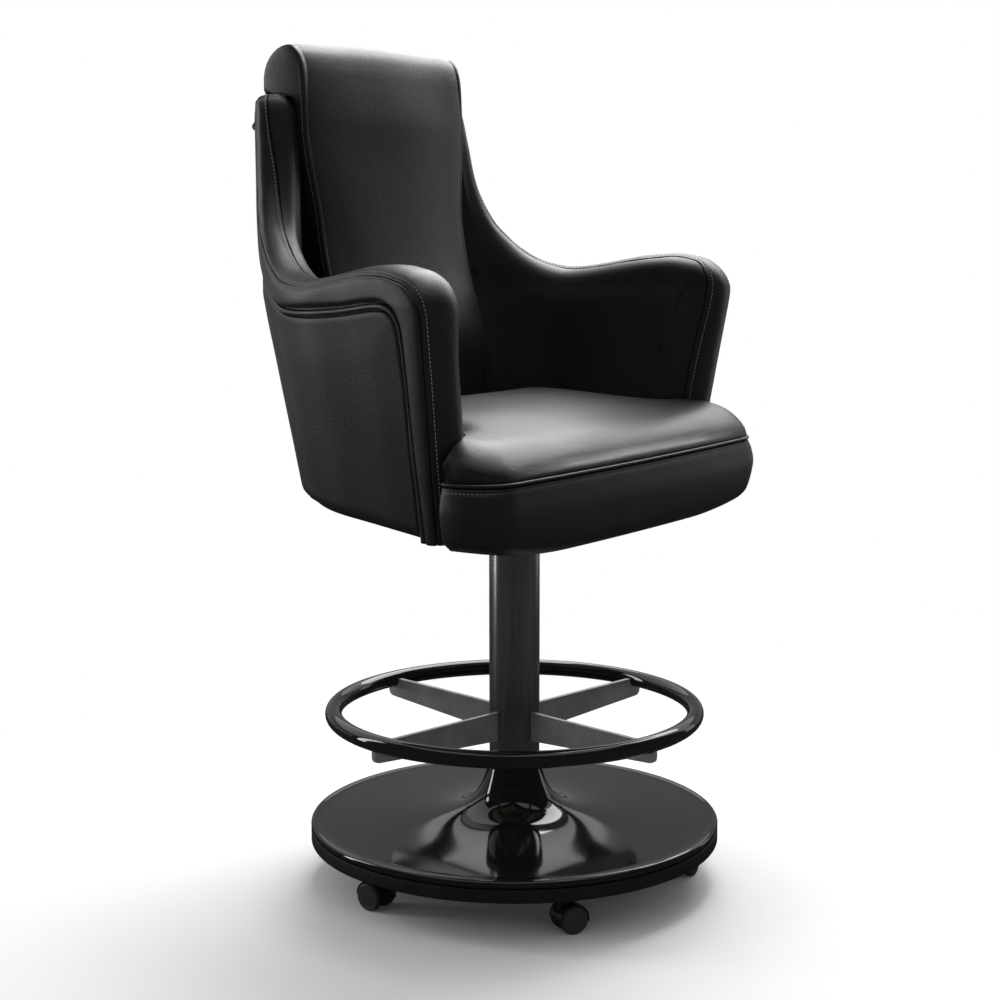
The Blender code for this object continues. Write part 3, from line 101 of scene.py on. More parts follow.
# Distance u, then (s, z) of the groove and (s, z) of the panel's edge under it
SIDE_SEAMS = [
    (0, 0.034, 0.5, 0.048, 0.5), (0.055, 0.038, 0.5534, 0.0492, 0.5522),
    (0.118, 0.043, 0.621, 0.0506, 0.6097), (0.182, 0.0439, 0.683, 0.0515, 0.682),
    (0.237, 0.0458, 0.735, 0.055, 0.735), (0.262, 0.0485, 0.756, 0.0575, 0.753),
    (0.305, 0.059, 0.774, 0.065, 0.7655), (0.345, 0.0777, 0.7814, 0.08, 0.7716),
    (0.385, 0.1022, 0.7805, 0.1038, 0.7713), (0.44, 0.1525, 0.7741, 0.1546, 0.7647),
    (0.495, 0.2025, 0.7699, 0.2043, 0.7602), (0.54, 0.2487, 0.7677, 0.2519, 0.7591),
    (0.572, 0.2839, 0.77, 0.2881, 0.762), (0.603, 0.3208, 0.783, 0.3265, 0.775),
    (0.64, 0.356, 0.815, 0.363, 0.808), (0.69, 0.385, 0.87, 0.392, 0.864),
    (0.74, 0.401, 0.916, 0.408, 0.91), (0.79, 0.413, 0.952, 0.42, 0.945),
    (0.84, 0.427, 0.974, 0.434, 0.966), (0.9, 0.465, 0.985, 0.47, 0.977),
    (1.0364, 0.5976, 0.986, 0.5976, 0.978)
]
PANEL_FOOT = np.array([
    (0, 0.052), (0.264, 0.085), (0.34, 0.104), (0.4, 0.13), (0.5, 0.205), (0.57, 0.28),
    (0.62, 0.325), (0.84, 0.44), (1.0364, 0.5976)
])
LINING_FOOT = np.array([
    (0, 0.034), (0.264, 0.06), (0.34, 0.104), (0.4, 0.136), (0.5, 0.205), (0.57, 0.27),
    (0.62, 0.31), (0.72, 0.35), (0.86, 0.392)
])
LINING_END = 0.86
LINING_SWELL = 0.008
LINING_REACH = 0.1
EDGE_STEP = 0.0045
SEAM_ROUND = 0.0022
STITCH_PLACE = 0.0062
BAND_DEPTH = 0.0085
ROLL_DEPTH = 0.012
LINING_DEPTH = 0.004
PANEL_UNDER = 0.016
TUCK_DROPS = (0.004, 0.012, 0.024)

# Seat cushion, as in the solids
CUSHION_BOTTOM = 0.484
CUSHION_HALF_WIDTH = 0.318
CUSHION_FRONT = 0.19
CUSHION_BOW = 0.012
CUSHION_CORNER = 0.052
CUSHION_REAR = 0.13
CUSHION_REAR_CORNER = 0.03
CUSHION_TUCK = 0.018
CUSHION_SWEEP = 0.017
SWEEP_SHARE = 0.45
CUSHION_TOP = 0.641
EAR_REAR = TUB_FRONT * (1 - (ARM_LEVEL - CUSHION_TOP) / TAPER_HEIGHT) + 0.001
EAR_STEP = 0.0032
WALL_ROOM = LINING_SWELL + 0.001
WELT_LEVEL = 0.577
WELT_RADIUS = 0.0024
BOX_SHARES = [
    (0, 1), (0.035, 0.62), (0.07, 0.36), (0.13, 0.12), (0.22, -0.04), (0.42, -0.22), (0.66, -0.33),
    (0.86, -0.2), (0.95, -0.06), (1, 0)
]
BOX_STITCH = 0.0058
CROWN_EDGE = 0.05
CROWN_RUN = 0.3
CROWN_FRONT_SHARE = 0.3
CROWN_BESIDE = 0.055
CORE_SHARE = 0.78

# Back pad, as in the solids
PAD_HALF_WIDTH = 0.15
PAD_HEAD_HALF_WIDTH = 0.166
PAD_HEAD_REAR = 0.277
PAD_WAIST_Y = 0.146
PAD_HEAD_Y = 0.231
PAD_BOTTOM = 0.56
PAD_TOP = 1.091
PAD_SHARE_TOP = 1.094
PAD_FRONT_SHARES = [
    (0, 0.047), (0.13, 0), (0.245, 0.047), (0.356, 0.247), (0.456, 0.447), (0.565, 0.576),
    (0.711, 0.671), (0.83, 0.712), (0.906, 0.735), (0.946, 0.765), (0.975, 0.83), (0.994, 0.94)
]
PAD_HEAD_ROLL = 0.044
PAD_HEAD_LIFT = 0.0012
PAD_CROWN = 0.011
PAD_DEPTH = 0.01
PAD_MIDDLE = (0, 0.235 + COLUMN_Y, 0.8)

# Casters, as in the solids
CASTER_TURNS = (12, -22.9, 0, 0, 18)
CASTER_FIRST = -129.6
CASTER_CIRCLE = 0.222
TRAIL = 0.012
WHEEL_RADIUS = 0.018
WHEEL_WIDTH = 0.0118
WHEEL_GAP = 0.0006
WEB = 0.011
NECK_TOP = 0.04175
BOSS = [
    (0.0004, 0.0395), (0.0078, 0.0395), (0.0085, 0.0402), (0.0085, 0.0528), (0.0078, 0.0535),
    (0.0043, 0.0535)
]

SIDES = (("left", 1), ("right", -1))


# Small tools


def catmull(points, steps):
    """A smooth curve through points, with steps pieces in each span."""
    p = np.array(points, float)
    q = np.vstack([2 * p[0] - p[1], p, 2 * p[-1] - p[-2]])
    curve = []
    for a, b, c, d in zip(q, q[1:], q[2:], q[3:]):
        for t in np.arange(steps) / steps:
            curve.append((2 * b + (c - a) * t + (2 * a - 5 * b + 4 * c - d) * t * t
                          + (3 * b - a - 3 * c + d) * t ** 3) / 2)
    return np.array(curve + [p[-1]])


def arc_lengths(curve):
    return np.append(0, np.cumsum(np.linalg.norm(np.diff(curve, axis=0), axis=1)))


def unit(vectors):
    return vectors / np.maximum(np.linalg.norm(vectors, axis=-1, keepdims=True), 1e-12)


def along(curve, lengths, at):
    return np.stack([np.interp(at, lengths, curve[:, k]) for k in range(curve.shape[1])], -1)


def read(curve, at):
    """The other columns of a curve, at a key in its first column."""
    return along(curve[:, 1:], curve[:, 0], at)


def smooth_step(value, low, high):
    t = np.clip((value - low) / (high - low), 0, 1)
    return t * t * (3 - 2 * t)


def arched(share):
    return np.maximum(0, np.sin(math.pi * np.clip(share, 0, 1)))


def quarter_round(t):
    return np.sqrt(1 - (1 - np.clip(t, 0, 1)) ** 2)


def turned_in(x, radius):
    """How far a rounded edge has dropped at a distance x from its seam."""
    return -radius * (1 - quarter_round(x / radius))


def dent(x, place, width):
    return np.exp(-((x - place) / width) ** 2)


def grid_normals(grid, outwards):
    """Normals of a grid of points, turned to the side that outwards points to."""
    normals = unit(np.cross(np.gradient(grid, axis=1), np.gradient(grid, axis=0)))
    return normals if np.sum(normals * outwards) > 0 else -normals


def soft_noise(points, scale, seed):
    """A smooth, repeatable wobble between about -1 and 1 from a few crossing waves."""
    rng = np.random.default_rng(seed)
    total = np.zeros(points.shape[:-1])
    for k in range(6):
        direction = unit(rng.normal(size=3))
        phase = rng.uniform(0, math.tau)
        total += np.sin(points @ direction * (math.tau / scale) * (0.7 + 0.13 * k) + phase)
    return total / 3


def distance_rows(grid):
    """For each point of a grid, how far it is along its column from the first row."""
    steps = np.linalg.norm(np.diff(grid, axis=0), axis=-1)
    return np.concatenate([np.zeros((1, grid.shape[1])), np.cumsum(steps, axis=0)])


def edge_distance(grid, line):
    """The distance of each point of a flat grid from a line of points."""
    best = np.full(grid.shape[:-1], 1e9)
    for a, b in zip(line, line[1:]):
        run = b - a
        t = np.clip(((grid - a) @ run) / max(float(run @ run), 1e-12), 0, 1)
        best = np.minimum(best, np.linalg.norm(grid - a - t[..., None] * run, axis=-1))
    return best


def seam_shares(length, step=0.006):
    """Shares of a panel's width, close together near both of its seams and their stitches."""
    near = np.array([0, 0.12, 0.35, 0.7, 1.1, 1.6]) * SEAM_ROUND
    near = np.append(near, [0.005, 0.0057, 0.0062, 0.0067, 0.0075, 0.0095])
    count = max(3, int(round((length - 0.023) / step)))
    rows = np.concatenate([near, np.linspace(0.0125, length - 0.0125, count), length - near[::-1]])
    return rows / rows[-1]


# Meshes: a grid of point numbers says which points each face joins


def numbered(rows, cols, start=0):
    return start + np.arange(rows * cols).reshape(rows, cols)


def grid_faces(at):
    """Quads of a grid of point numbers."""
    corners = (at[:-1, :-1], at[:-1, 1:], at[1:, 1:], at[1:, :-1])
    return list(zip(*(corner.ravel().tolist() for corner in corners)))


def looped(at):
    """The same grid with its first column once more at its end."""
    return np.hstack([at, at[:, :1]])


def tube_faces(at):
    """Quads between rings, with the first and last ring capped."""
    return grid_faces(looped(at)) + [tuple(at[0, ::-1].tolist()), tuple(at[-1].tolist())]


def torus_faces(at):
    """Quads between rings, with the last ring joined to the first."""
    return grid_faces(looped(looped(at).T).T)


def rim_of(grid):
    """A grid's rim, once round: first row, last column, last row and first column."""
    return np.concatenate([grid[0], grid[1:, -1], grid[-1, -2::-1], grid[-2:0:-1, 0]])


def sheet_mesh(front, back):
    """A closed body between two equal grids of points."""
    at = numbered(*front.shape[:2])
    rim = looped(rim_of(at)[None])
    faces = grid_faces(at) + grid_faces(at.size + at[::-1])
    faces += grid_faces(np.vstack([rim + at.size, rim]))
    return np.vstack([front.reshape(-1, 3), back.reshape(-1, 3)]), faces


def outward(verts, faces):
    """Faces turned so that the closed body's volume is positive."""
    fans = np.array([(f[0], f[k], f[k + 1]) for f in faces for k in range(1, len(f) - 1)])
    a, b, c = np.asarray(verts)[fans.T]
    return faces if np.sum(a * np.cross(b, c)) > 0 else [f[::-1] for f in faces]


def in_scene(name, data):
    obj = bpy.data.objects.new(name, data)
    bpy.context.scene.collection.objects.link(obj)
    return obj


def new_object(name, verts, faces, material, smooth=True):
    if not np.isfinite(np.array(verts)).all():
        raise ValueError(f"{name} has points that are not numbers")
    mesh = bpy.data.meshes.new(name)
    mesh.from_pydata([tuple(v) for v in verts], [], faces)
    mesh.validate()
    mesh.update()
    if smooth:
        mesh.shade_smooth()
    mesh.materials.append(material)
    return in_scene(name, mesh)


def piece(name, verts, faces, finish="leather", body="seat", slot=None, nodes=(), fill=None,
          sharp=None):
    """One closed piece of the stool, hung under its body, with the solids that it stands for
    hidden.
    """
    obj = new_object(name, verts, outward(verts, faces), FINISHES[finish])
    if sharp is not None:
        obj.data.set_sharp_from_angle(angle=math.radians(sharp))
    if nodes:
        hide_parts(*nodes)
    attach(obj, body)


def pair(name, verts, faces, node_name=None, fill=0.8):
    """A soft piece of the left side and its mirror image on the right."""
    for side, way in SIDES:
        nodes = [f"{node_name}_{side}"] if node_name else ()
        piece(f"{name}_{side}", verts * (way, 1, 1), faces, nodes=nodes, fill=fill)


# Finishes


def node(tree, kind, source=None, socket=None, **values):
    """A new node, fed by source. Each value is a socket's or, if none has its name, a setting."""
    made = tree.nodes.new(kind)
    if source is not None:
        tree.links.new(source, made.inputs[socket])
    for key, value in values.items():
        if key in made.inputs:
            made.inputs[key].default_value = value
        else:
            setattr(made, key, value)
    return made


def set_inputs(shader, **values):
    for key, value in values.items():
        shader.inputs[key.replace("_", " ")].default_value = value


def base_material(name, colour, roughness, metallic=0, specular=0.5):
    material = bpy.data.materials.new(name)
    material.use_nodes = True
    tree = material.node_tree
    shader = tree.nodes["Principled BSDF"]
    set_inputs(shader, Base_Color=(*colour, 1), Roughness=roughness, Metallic=metallic,
               Specular_IOR_Level=specular)
    return material, tree, shader, node(tree, "ShaderNodeTexCoord").outputs["Object"]


def stretched(tree, place, scale):
    return node(tree, "ShaderNodeMapping", place, "Vector", Scale=scale).outputs["Vector"]


def noise_of(tree, place, scale, detail=3, rough=0.5):
    return node(tree, "ShaderNodeTexNoise", place, "Vector", Scale=scale, Detail=detail,
                Roughness=rough).outputs["Fac"]


def tint(tree, shader, factor, colour, low, high):
    """The colour, darker where factor is low and lighter where it is high."""
    made = node(tree, "ShaderNodeValToRGB", factor, "Fac")
    for element, place, level in zip(made.color_ramp.elements, (0.3, 0.7), (low, high)):
        element.position = place
        element.color = (*(c * level for c in colour), 1)
    tree.links.new(made.outputs["Color"], shader.inputs["Base Color"])


def polish(tree, shader, factor, low, high):
    made = node(tree, "ShaderNodeMapRange", factor, "Value", **{"To Min": low, "To Max": high})
    tree.links.new(made.outputs["Result"], shader.inputs["Roughness"])


def add_bump(tree, shader, height, strength, distance):
    """A bump on the shader, over the bump that it has already."""
    made = node(tree, "ShaderNodeBump", height, "Height", Strength=strength, Distance=distance)
    for before in shader.inputs["Normal"].links:
        tree.links.new(before.from_socket, made.inputs["Normal"])
    tree.links.new(made.outputs["Normal"], shader.inputs["Normal"])


def leather(name, colour, low, high, specular):
    """Smooth upholstery leather: fine pebble grain, faint creases and uneven polish."""
    material, tree, shader, place = base_material(name, colour, (low + high) / 2, 0, specular)
    tint(tree, shader, noise_of(tree, place, 9), colour, 0.86, 1.14)
    polish(tree, shader, noise_of(tree, place, 22, 4, 0.6), low, high)
    creases = noise_of(tree, stretched(tree, place, (1, 1, 1.6)), 130, 5, 0.6)
    add_bump(tree, shader, creases, 0.26, 0.0007)
    pebble = node(tree, "ShaderNodeTexVoronoi", place, "Vector", Scale=720, feature="SMOOTH_F1")
    add_bump(tree, shader, pebble.outputs["Distance"], 0.42, 0.0004)
    return material


def paint(name, colour, low, high):
    """Sprayed paint, with a very slight orange peel and a faint haze."""
    material, tree, shader, place = base_material(name, colour, low)
    tint(tree, shader, noise_of(tree, place, 6, 2), colour, 0.92, 1.08)
    polish(tree, shader, noise_of(tree, place, 14, 4, 0.6), low, high)
    add_bump(tree, shader, noise_of(tree, place, 260, 1), 0.03, 0.0003)
    return material


def brushed(name, colour, low, high, metallic):
    """Dark plated tube, brushed round its axis, with a faint lengthwise drift in tone."""
    material, tree, shader, place = base_material(name, colour, low, metallic)
    stripes = noise_of(tree, stretched(tree, place, (1, 1, 0.01)), 420)
    tint(tree, shader, stripes, colour, 0.75, 1.3)
    rings = noise_of(tree, stretched(tree, place, (0.02, 0.02, 1)), 900)
    polish(tree, shader, rings, low, high)
    add_bump(tree, shader, stripes, 0.05, 0.0002)
    return material


def grainy(name, colour, roughness, metallic, scale, specular=0.5, bump=0.2):
    """Cast, moulded or plated surfaces with a fine even grain."""
    material, tree, shader, place = base_material(name, colour, roughness, metallic, specular)
    cloud = noise_of(tree, place, 30, 4)
    tint(tree, shader, cloud, colour, 0.85, 1.12)
    polish(tree, shader, cloud, roughness * 0.85, roughness * 1.15)
    add_bump(tree, shader, noise_of(tree, place, scale), bump, 0.0003)
    return material


def wooden(name, colour, squeeze, scale):
    """Wood, with its grain or its plies in the directions that are squeezed most."""
    material, tree, shader, place = base_material(name, colour, 0.7)
    grain = noise_of(tree, stretched(tree, place, squeeze), scale, 4, 0.6)
    tint(tree, shader, grain, colour, 0.62, 1.15)
    add_bump(tree, shader, grain, 0.2, 0.0004)
    return material


FINISHES = {
    "gloss_black": paint("gloss_black_paint", (0.008, 0.008, 0.009), 0.045, 0.085),
    "satin_black": brushed("satin_black_tube", (0.22, 0.22, 0.225), 0.2, 0.28, 0.92),
    "rubber": grainy("rubber_skirt", (0.007, 0.007, 0.007), 0.62, 0, 900, 0.25),
    "cast_iron": grainy("cast_iron_plate", (0.04, 0.04, 0.042), 0.65, 0.9, 500, 0.5, 0.5),
    "plain_steel": grainy("plain_steel_plate", (0.35, 0.35, 0.36), 0.38, 1, 700),
    "bearing_steel": grainy("bearing_steel_polished", (0.55, 0.55, 0.57), 0.18, 1, 900, 0.5,
                            0.05),
    "zinc": grainy("zinc_plate", (0.5, 0.5, 0.52), 0.33, 1, 800),
    "nylon": grainy("nylon_moulded", (0.65, 0.64, 0.6), 0.5, 0, 900),
    "caster_black": grainy("caster_plastic", (0.01, 0.01, 0.011), 0.36, 0, 900, 0.4, 0.1),
    "wheel_grey": grainy("caster_wheel_grey", (0.03, 0.031, 0.034), 0.42, 0, 900, 0.4, 0.12),
    "plywood": wooden("plywood_board", (0.48, 0.33, 0.18), (2, 2, 500), 1),
    "timber": wooden("timber_rail", (0.52, 0.36, 0.2), (3, 90, 90), 2),
    "leather": leather("leather_black", (0.0056, 0.0056, 0.006), 0.38, 0.48, 0.5),
    "leather_dark": leather("leather_black_side", (0.006, 0.006, 0.0064), 0.42, 0.52, 0.42),
    "bar": grainy("bar_satin_steel", (0.3, 0.3, 0.305), 0.36, 0.7, 800, 0.5, 0.1),
    "thread": grainy("thread_grey", (0.19, 0.19, 0.195), 0.6, 0, 3000, 0.3, 0.3),
}


def dress_kept_nodes():
    """A finish for every solid, and softened edges on the flat bars under the ring."""
    for part in frame["record"]["subparts"]:
        shown = frame["nodes"][part["node"]]
        flat_bar = part["node"].startswith("ring_bar")
        finish = FINISHES["bar" if flat_bar else part["material_slot"]]
        if not shown.data.materials:
            shown.data.materials.append(finish)
        for slot in shown.material_slots:
            slot.link = "OBJECT"
            slot.material = finish
        if flat_bar:
            soft = shown.modifiers.new("soft_edges", "BEVEL")
            soft.width = 0.0007
            soft.segments = 2
            soft.limit_method = "ANGLE"
            soft.angle_limit = math.radians(50)
            soft.harden_normals = False


# Tub surface


def plan_line():
    half = [(-x * TUB_HALF_WIDTH, y * (TUB_BACK if y > 0 else TUB_FRONT))
            for x, y in PLAN_SHARES]
    return catmull(half + [(-x, y) for x, y in half[-2::-1]], 40)


PLAN = plan_line()
PLAN_AT = arc_lengths(PLAN)
PLAN_HALF = PLAN_AT[-1] / 2
PLAN_ALONG = unit(np.gradient(PLAN, PLAN_AT, axis=0))


def from_front(s):
    """The distance from the nearer arm's front, for a distance s round the plan."""
    return np.minimum(s, 2 * PLAN_HALF - s)


def half_thickness(s):
    blend = smooth_step(from_front(s) / PLAN_HALF, *THINNING)
    return (ARM_THICKNESS + (BACK_THICKNESS - ARM_THICKNESS) * blend) / 2


def tub(s, z, n):
    """Points at distances s round the plan, heights z and offsets n outwards."""
    s, z, n = np.broadcast_arrays(*(np.asarray(v, float) for v in (s, z, n)))
    way = unit(along(PLAN_ALONG, PLAN_AT, s))
    place = along(PLAN, PLAN_AT, s) + np.minimum(s, 0)[..., None] * PLAN_ALONG[0]
    x, y = place[..., 0], place[..., 1]
    scale = 1 - np.maximum(0, ARM_LEVEL - z) / TAPER_HEIGHT
    lean = BACK_LEAN * np.maximum(0, z - ARM_LEVEL) * np.maximum(0, y / TUB_BACK)
    return np.stack([x * scale - way[..., 1] * n,
                     y * scale + way[..., 0] * n + lean + COLUMN_Y, z], -1)


def to_world(grid):
    return tub(grid[..., 0], grid[..., 1], grid[..., 2])


def tub_outward(grid):
    """The way out of the tub at each (s, z, n) of a grid."""
    return unit(to_world(grid + (0, 0, 0.001)) - to_world(grid))


def tub_bottom(s):
    return TUB_BOTTOM_FRONT + TUB_BOTTOM_SLOPE * np.minimum(from_front(s), 0.5 * PLAN_HALF)


def edge_line():
    """The tub's edge as (s, z): up the arm's front, over the knuckle and up the wing."""
    turn = np.radians(KNUCKLE_TURN) * np.arange(9) / 8
    knuckle = np.column_stack([KNUCKLE_RADIUS * (1 - np.cos(turn)),
                               KNUCKLE_HEIGHT + KNUCKLE_RADIUS * np.sin(turn)])
    tops = [(s * PLAN_HALF, ARM_DIP + share * (top - ARM_DIP))
            for top, rows in ((ARM_TOP, ARM_TOP_SHARES), (WING_TOP, WING_SHARES))
            for s, share in rows]
    front = np.linspace(TUB_BOTTOM_FRONT, KNUCKLE_HEIGHT, 41)[:-1]
    return np.vstack([np.column_stack([0 * front, front]),
                      catmull(np.vstack([knuckle, tops]), 24)])


EDGE = edge_line()
EDGE_AT = arc_lengths(EDGE)
EDGE_ALONG = unit(np.gradient(EDGE, EDGE_AT, axis=0))
EDGE_IN = np.stack([EDGE_ALONG[:, 1], -EDGE_ALONG[:, 0]], 1)
OUTER_CURVE = catmull(OUTER_SEAM, 12)
INNER_CURVE = catmull(INNER_SEAM, 12)
SIDE_CURVES = catmull(SIDE_SEAMS, 16)
GROOVE_CURVE = SIDE_CURVES[:, :3]
PANEL_CURVE = SIDE_CURVES[:, [0, 3, 4]]


def edge_stations(end=EDGE_AT[-1]):
    """Distances along the edge at which the tub's pieces are cut into columns."""
    return np.linspace(0, end, int(round(end / EDGE_STEP)) + 1)


STATIONS = edge_stations()


def edge_point(u):
    """The edge's point at a distance u along it, and the way from there into the side."""
    return along(EDGE, EDGE_AT, u), unit(along(EDGE_IN, EDGE_AT, u))


def crown_share(depth):
    """How far across the crown the surface is at a depth below the edge."""
    h = np.clip(1 - depth / CROWN_HEIGHT, 0, 1)
    return np.maximum(0, 1 - h ** CROWN_UP) ** (1 / CROWN_ACROSS)


def crown_place(angle):
    """Depth below the edge and share across, for an angle round the crown in degrees."""
    turn = np.radians(np.minimum(np.abs(angle), 90))
    depth = CROWN_HEIGHT * (1 - np.maximum(0, np.cos(turn)) ** (2 / CROWN_UP))
    share = np.maximum(0, np.sin(turn)) ** (2 / CROWN_ACROSS)
    beyond = np.maximum(0, np.abs(angle) - 90) / 90 * BEYOND_CROWN
    return depth + beyond, np.sign(angle) * share


def inner_share(depth, share, u):
    """The share across on the inner side, which is rounder down the fronts of the arms."""
    t = np.clip(1 - depth / ROUND_DEPTH, 0, 1)
    rounder = -np.sqrt(1 - t * t)
    front = 1 - smooth_step(u, *ROUND_FADE)
    return np.where(share < 0, share + (np.maximum(share, rounder) - share) * front, share)


def crown_points(u, angles):
    """Points (s, z, n) over the crown at a distance u along the edge."""
    point, inward = edge_point(u)
    depth, share = crown_place(angles)
    share = inner_share(depth, share, u)
    place = point + inward * depth[:, None]
    return np.column_stack([place, share * half_thickness(place[:, 0])])


def column_grid(make_path, stations, shares):
    """A grid of (s, z, n): a path for each station, cut at shares of its length."""
    columns = []
    for path in map(make_path, stations):
        at = arc_lengths(path)
        columns.append(along(path, at, shares * at[-1]))
    return np.stack(columns, 1)


def both_sides(left):
    """A left half of a grid with its mirror image, joined at the middle column."""
    left = np.array(left)
    left[:, -1, 0] = 0
    return np.concatenate([left, left[:, -2::-1] * (-1, 1, 1)], 1)


def there_and_back(values):
    return np.append(values, values[-2::-1])


# Leather round the tub


def stitches(name, path, normals, pitch=0.005, length=0.0033, radius=0.00042, sides=6):
    """A row of raised stitches along a path of points, sunk a little into the leather."""
    at = arc_lengths(path)
    middle = (np.arange(int(at[-1] / pitch)) + 0.5) * pitch
    ahead, behind = (along(path, at, middle + way * length / 2) for way in (1, -1))
    way = unit(ahead - behind)
    up = along(normals, at, middle)
    up = unit(up - way * np.sum(up * way, axis=1, keepdims=True))
    here, way, up, side = (v[:, None, None] for v in (along(path, at, middle), way, up,
                                                      np.cross(way, up)))
    t = np.array([-0.5, -0.36, 0, 0.36, 0.5])[:, None, None]
    swell = radius * np.array([0.25, 0.8, 1, 0.8, 0.25])[:, None, None]
    turn = (np.arange(sides) * math.tau / sides)[:, None]
    rise = radius * (0.55 * (1 - (2 * t) ** 2) - 0.15)
    verts = (here + way * t * length + up * rise
             + swell * (side * np.cos(turn) + up * np.sin(turn)))
    each = len(t) * sides
    faces = [f for k in range(len(middle)) for f in tube_faces(numbered(len(t), sides, k * each))]
    piece(name, verts.reshape(-1, 3), faces, "thread", slot="leather")


def stitch_pair(name, path, normals, **sizes):
    for side, way in SIDES:
        flip = (way, 1, 1)
        stitches(f"{name}_{side}", path * flip, normals * flip, **sizes)


def seam_tube(name, path, normals, width, height, closed=False, sides=10):
    """A cord sewn under leather, along a path, with its own width and height."""
    if closed:
        way = unit(np.roll(path, -1, axis=0) - np.roll(path, 1, axis=0))
    else:
        way = unit(np.gradient(path, axis=0))
    up = unit(normals - way * np.sum(normals * way, axis=1, keepdims=True))
    side = np.cross(way, up)
    turn = (np.arange(sides) * math.tau / sides)[:, None]
    width = np.broadcast_to(width, len(path))[:, None, None]
    verts = (path[:, None] + side[:, None] * (np.cos(turn) * width)
             + up[:, None] * (np.sin(turn) * height))
    at = numbered(len(path), sides)
    piece(name, verts.reshape(-1, 3), torus_faces(at) if closed else tube_faces(at))


def band_path(u):
    inner, outer = np.interp(u, *INNER_CURVE.T), np.interp(u, *OUTER_CURVE.T)
    return crown_points(u, np.linspace(inner, outer, 60))


def sewn_lift(grid, bulge, seed):
    """Lift of a padded strip between two seams, with its edges turned in and faint puckers."""
    near = distance_rows(grid)
    far = near[-1:] - near
    lift = bulge * arched(near / np.maximum(near[-1:], 1e-6)) ** 0.7
    lift += turned_in(near, SEAM_ROUND) + turned_in(far, SEAM_ROUND)
    lift -= 0.0004 * (dent(near, STITCH_PLACE, 0.0011) + dent(far, STITCH_PLACE, 0.0011))
    close = np.exp(-near / 0.012) + np.exp(-far / 0.012)
    return (lift + 0.00035 * close * soft_noise(grid, 0.035, seed)
            + 0.0003 * soft_noise(grid, 0.11, seed + 1))


def nearest_row(grid, distance, from_end):
    """The row at a distance from the first or the last row, in a column of the arm's top."""
    near = distance_rows(grid)
    column = near[:, near.shape[1] // 3]
    target = column[-1] - distance if from_end else distance
    return int(np.argmin(np.abs(column - target)))


def build_bands():
    base = to_world(column_grid(band_path, STATIONS, seam_shares(0.066)))
    point, inward = edge_point(STATIONS)
    middle = point + inward * 0.022
    normals = grid_normals(base, base - tub(middle[:, 0], middle[:, 1], 0)[None])
    front = base + normals * sewn_lift(base, 0.0012, 3)[..., None]
    back = base - normals * BAND_DEPTH
    front[:, -1, 0] = back[:, -1, 0] = -0.0004
    pair("edge_band", *sheet_mesh(front, back), "arm_band")
    for which, from_end in (("outer", True), ("inner", False)):
        row = nearest_row(base, STITCH_PLACE, from_end)
        stitch_pair(f"stitches_{which}", front[row], normals[row])


def roll_path(u):
    """From the outer seam down the padded border to the panel's groove."""
    point, inward = edge_point(u)
    start = crown_place(np.interp(u, *OUTER_CURVE.T))[0]
    drop = read(GROOVE_CURVE, u) - point
    run = np.linalg.norm(drop)
    depth = np.append(np.linspace(start, CROWN_HEIGHT, 24)[:-1], np.linspace(CROWN_HEIGHT, run, 10))
    blend = smooth_step(depth, start, CROWN_HEIGHT)[:, None]
    place = point + (inward * (1 - blend) + drop / run * blend) * depth[:, None]
    return np.column_stack([place, crown_share(depth) * half_thickness(place[:, 0])])


def build_roll():
    """The padded border between the band and the outside panel, one strip round the tub."""
    left = column_grid(roll_path, STATIONS, seam_shares(0.045))
    base = both_sides(to_world(left))
    normals = grid_normals(base, both_sides(tub_outward(left)))
    near = distance_rows(base)
    far = near[-1:] - near
    stand = there_and_back(0.0022 - 0.0016 * smooth_step(STATIONS, 0.52, 0.66))
    lift = stand * arched(near / np.maximum(near[-1:], 1e-6)) ** 0.6
    lift += turned_in(near, SEAM_ROUND) + 1.15 * turned_in(far, 0.0075)
    lift += 0.0003 * (np.exp(-near / 0.012) * soft_noise(base, 0.035, 11)
                      + soft_noise(base, 0.12, 12))
    front = base + normals * lift[..., None]
    piece("side_roll", *sheet_mesh(front, base - normals * ROLL_DEPTH), fill=0.8)


def panel_column(u, shares):
    """One column of the panel, from its edge to its foot, as (s, z)."""
    top = read(PANEL_CURVE, u)
    top[1] = max(top[1], tub_bottom(top[0]) + 0.001)
    foot_s = np.interp(u, *PANEL_FOOT.T)
    return top + (np.array([foot_s, tub_bottom(foot_s)]) - top) * shares[:, None]


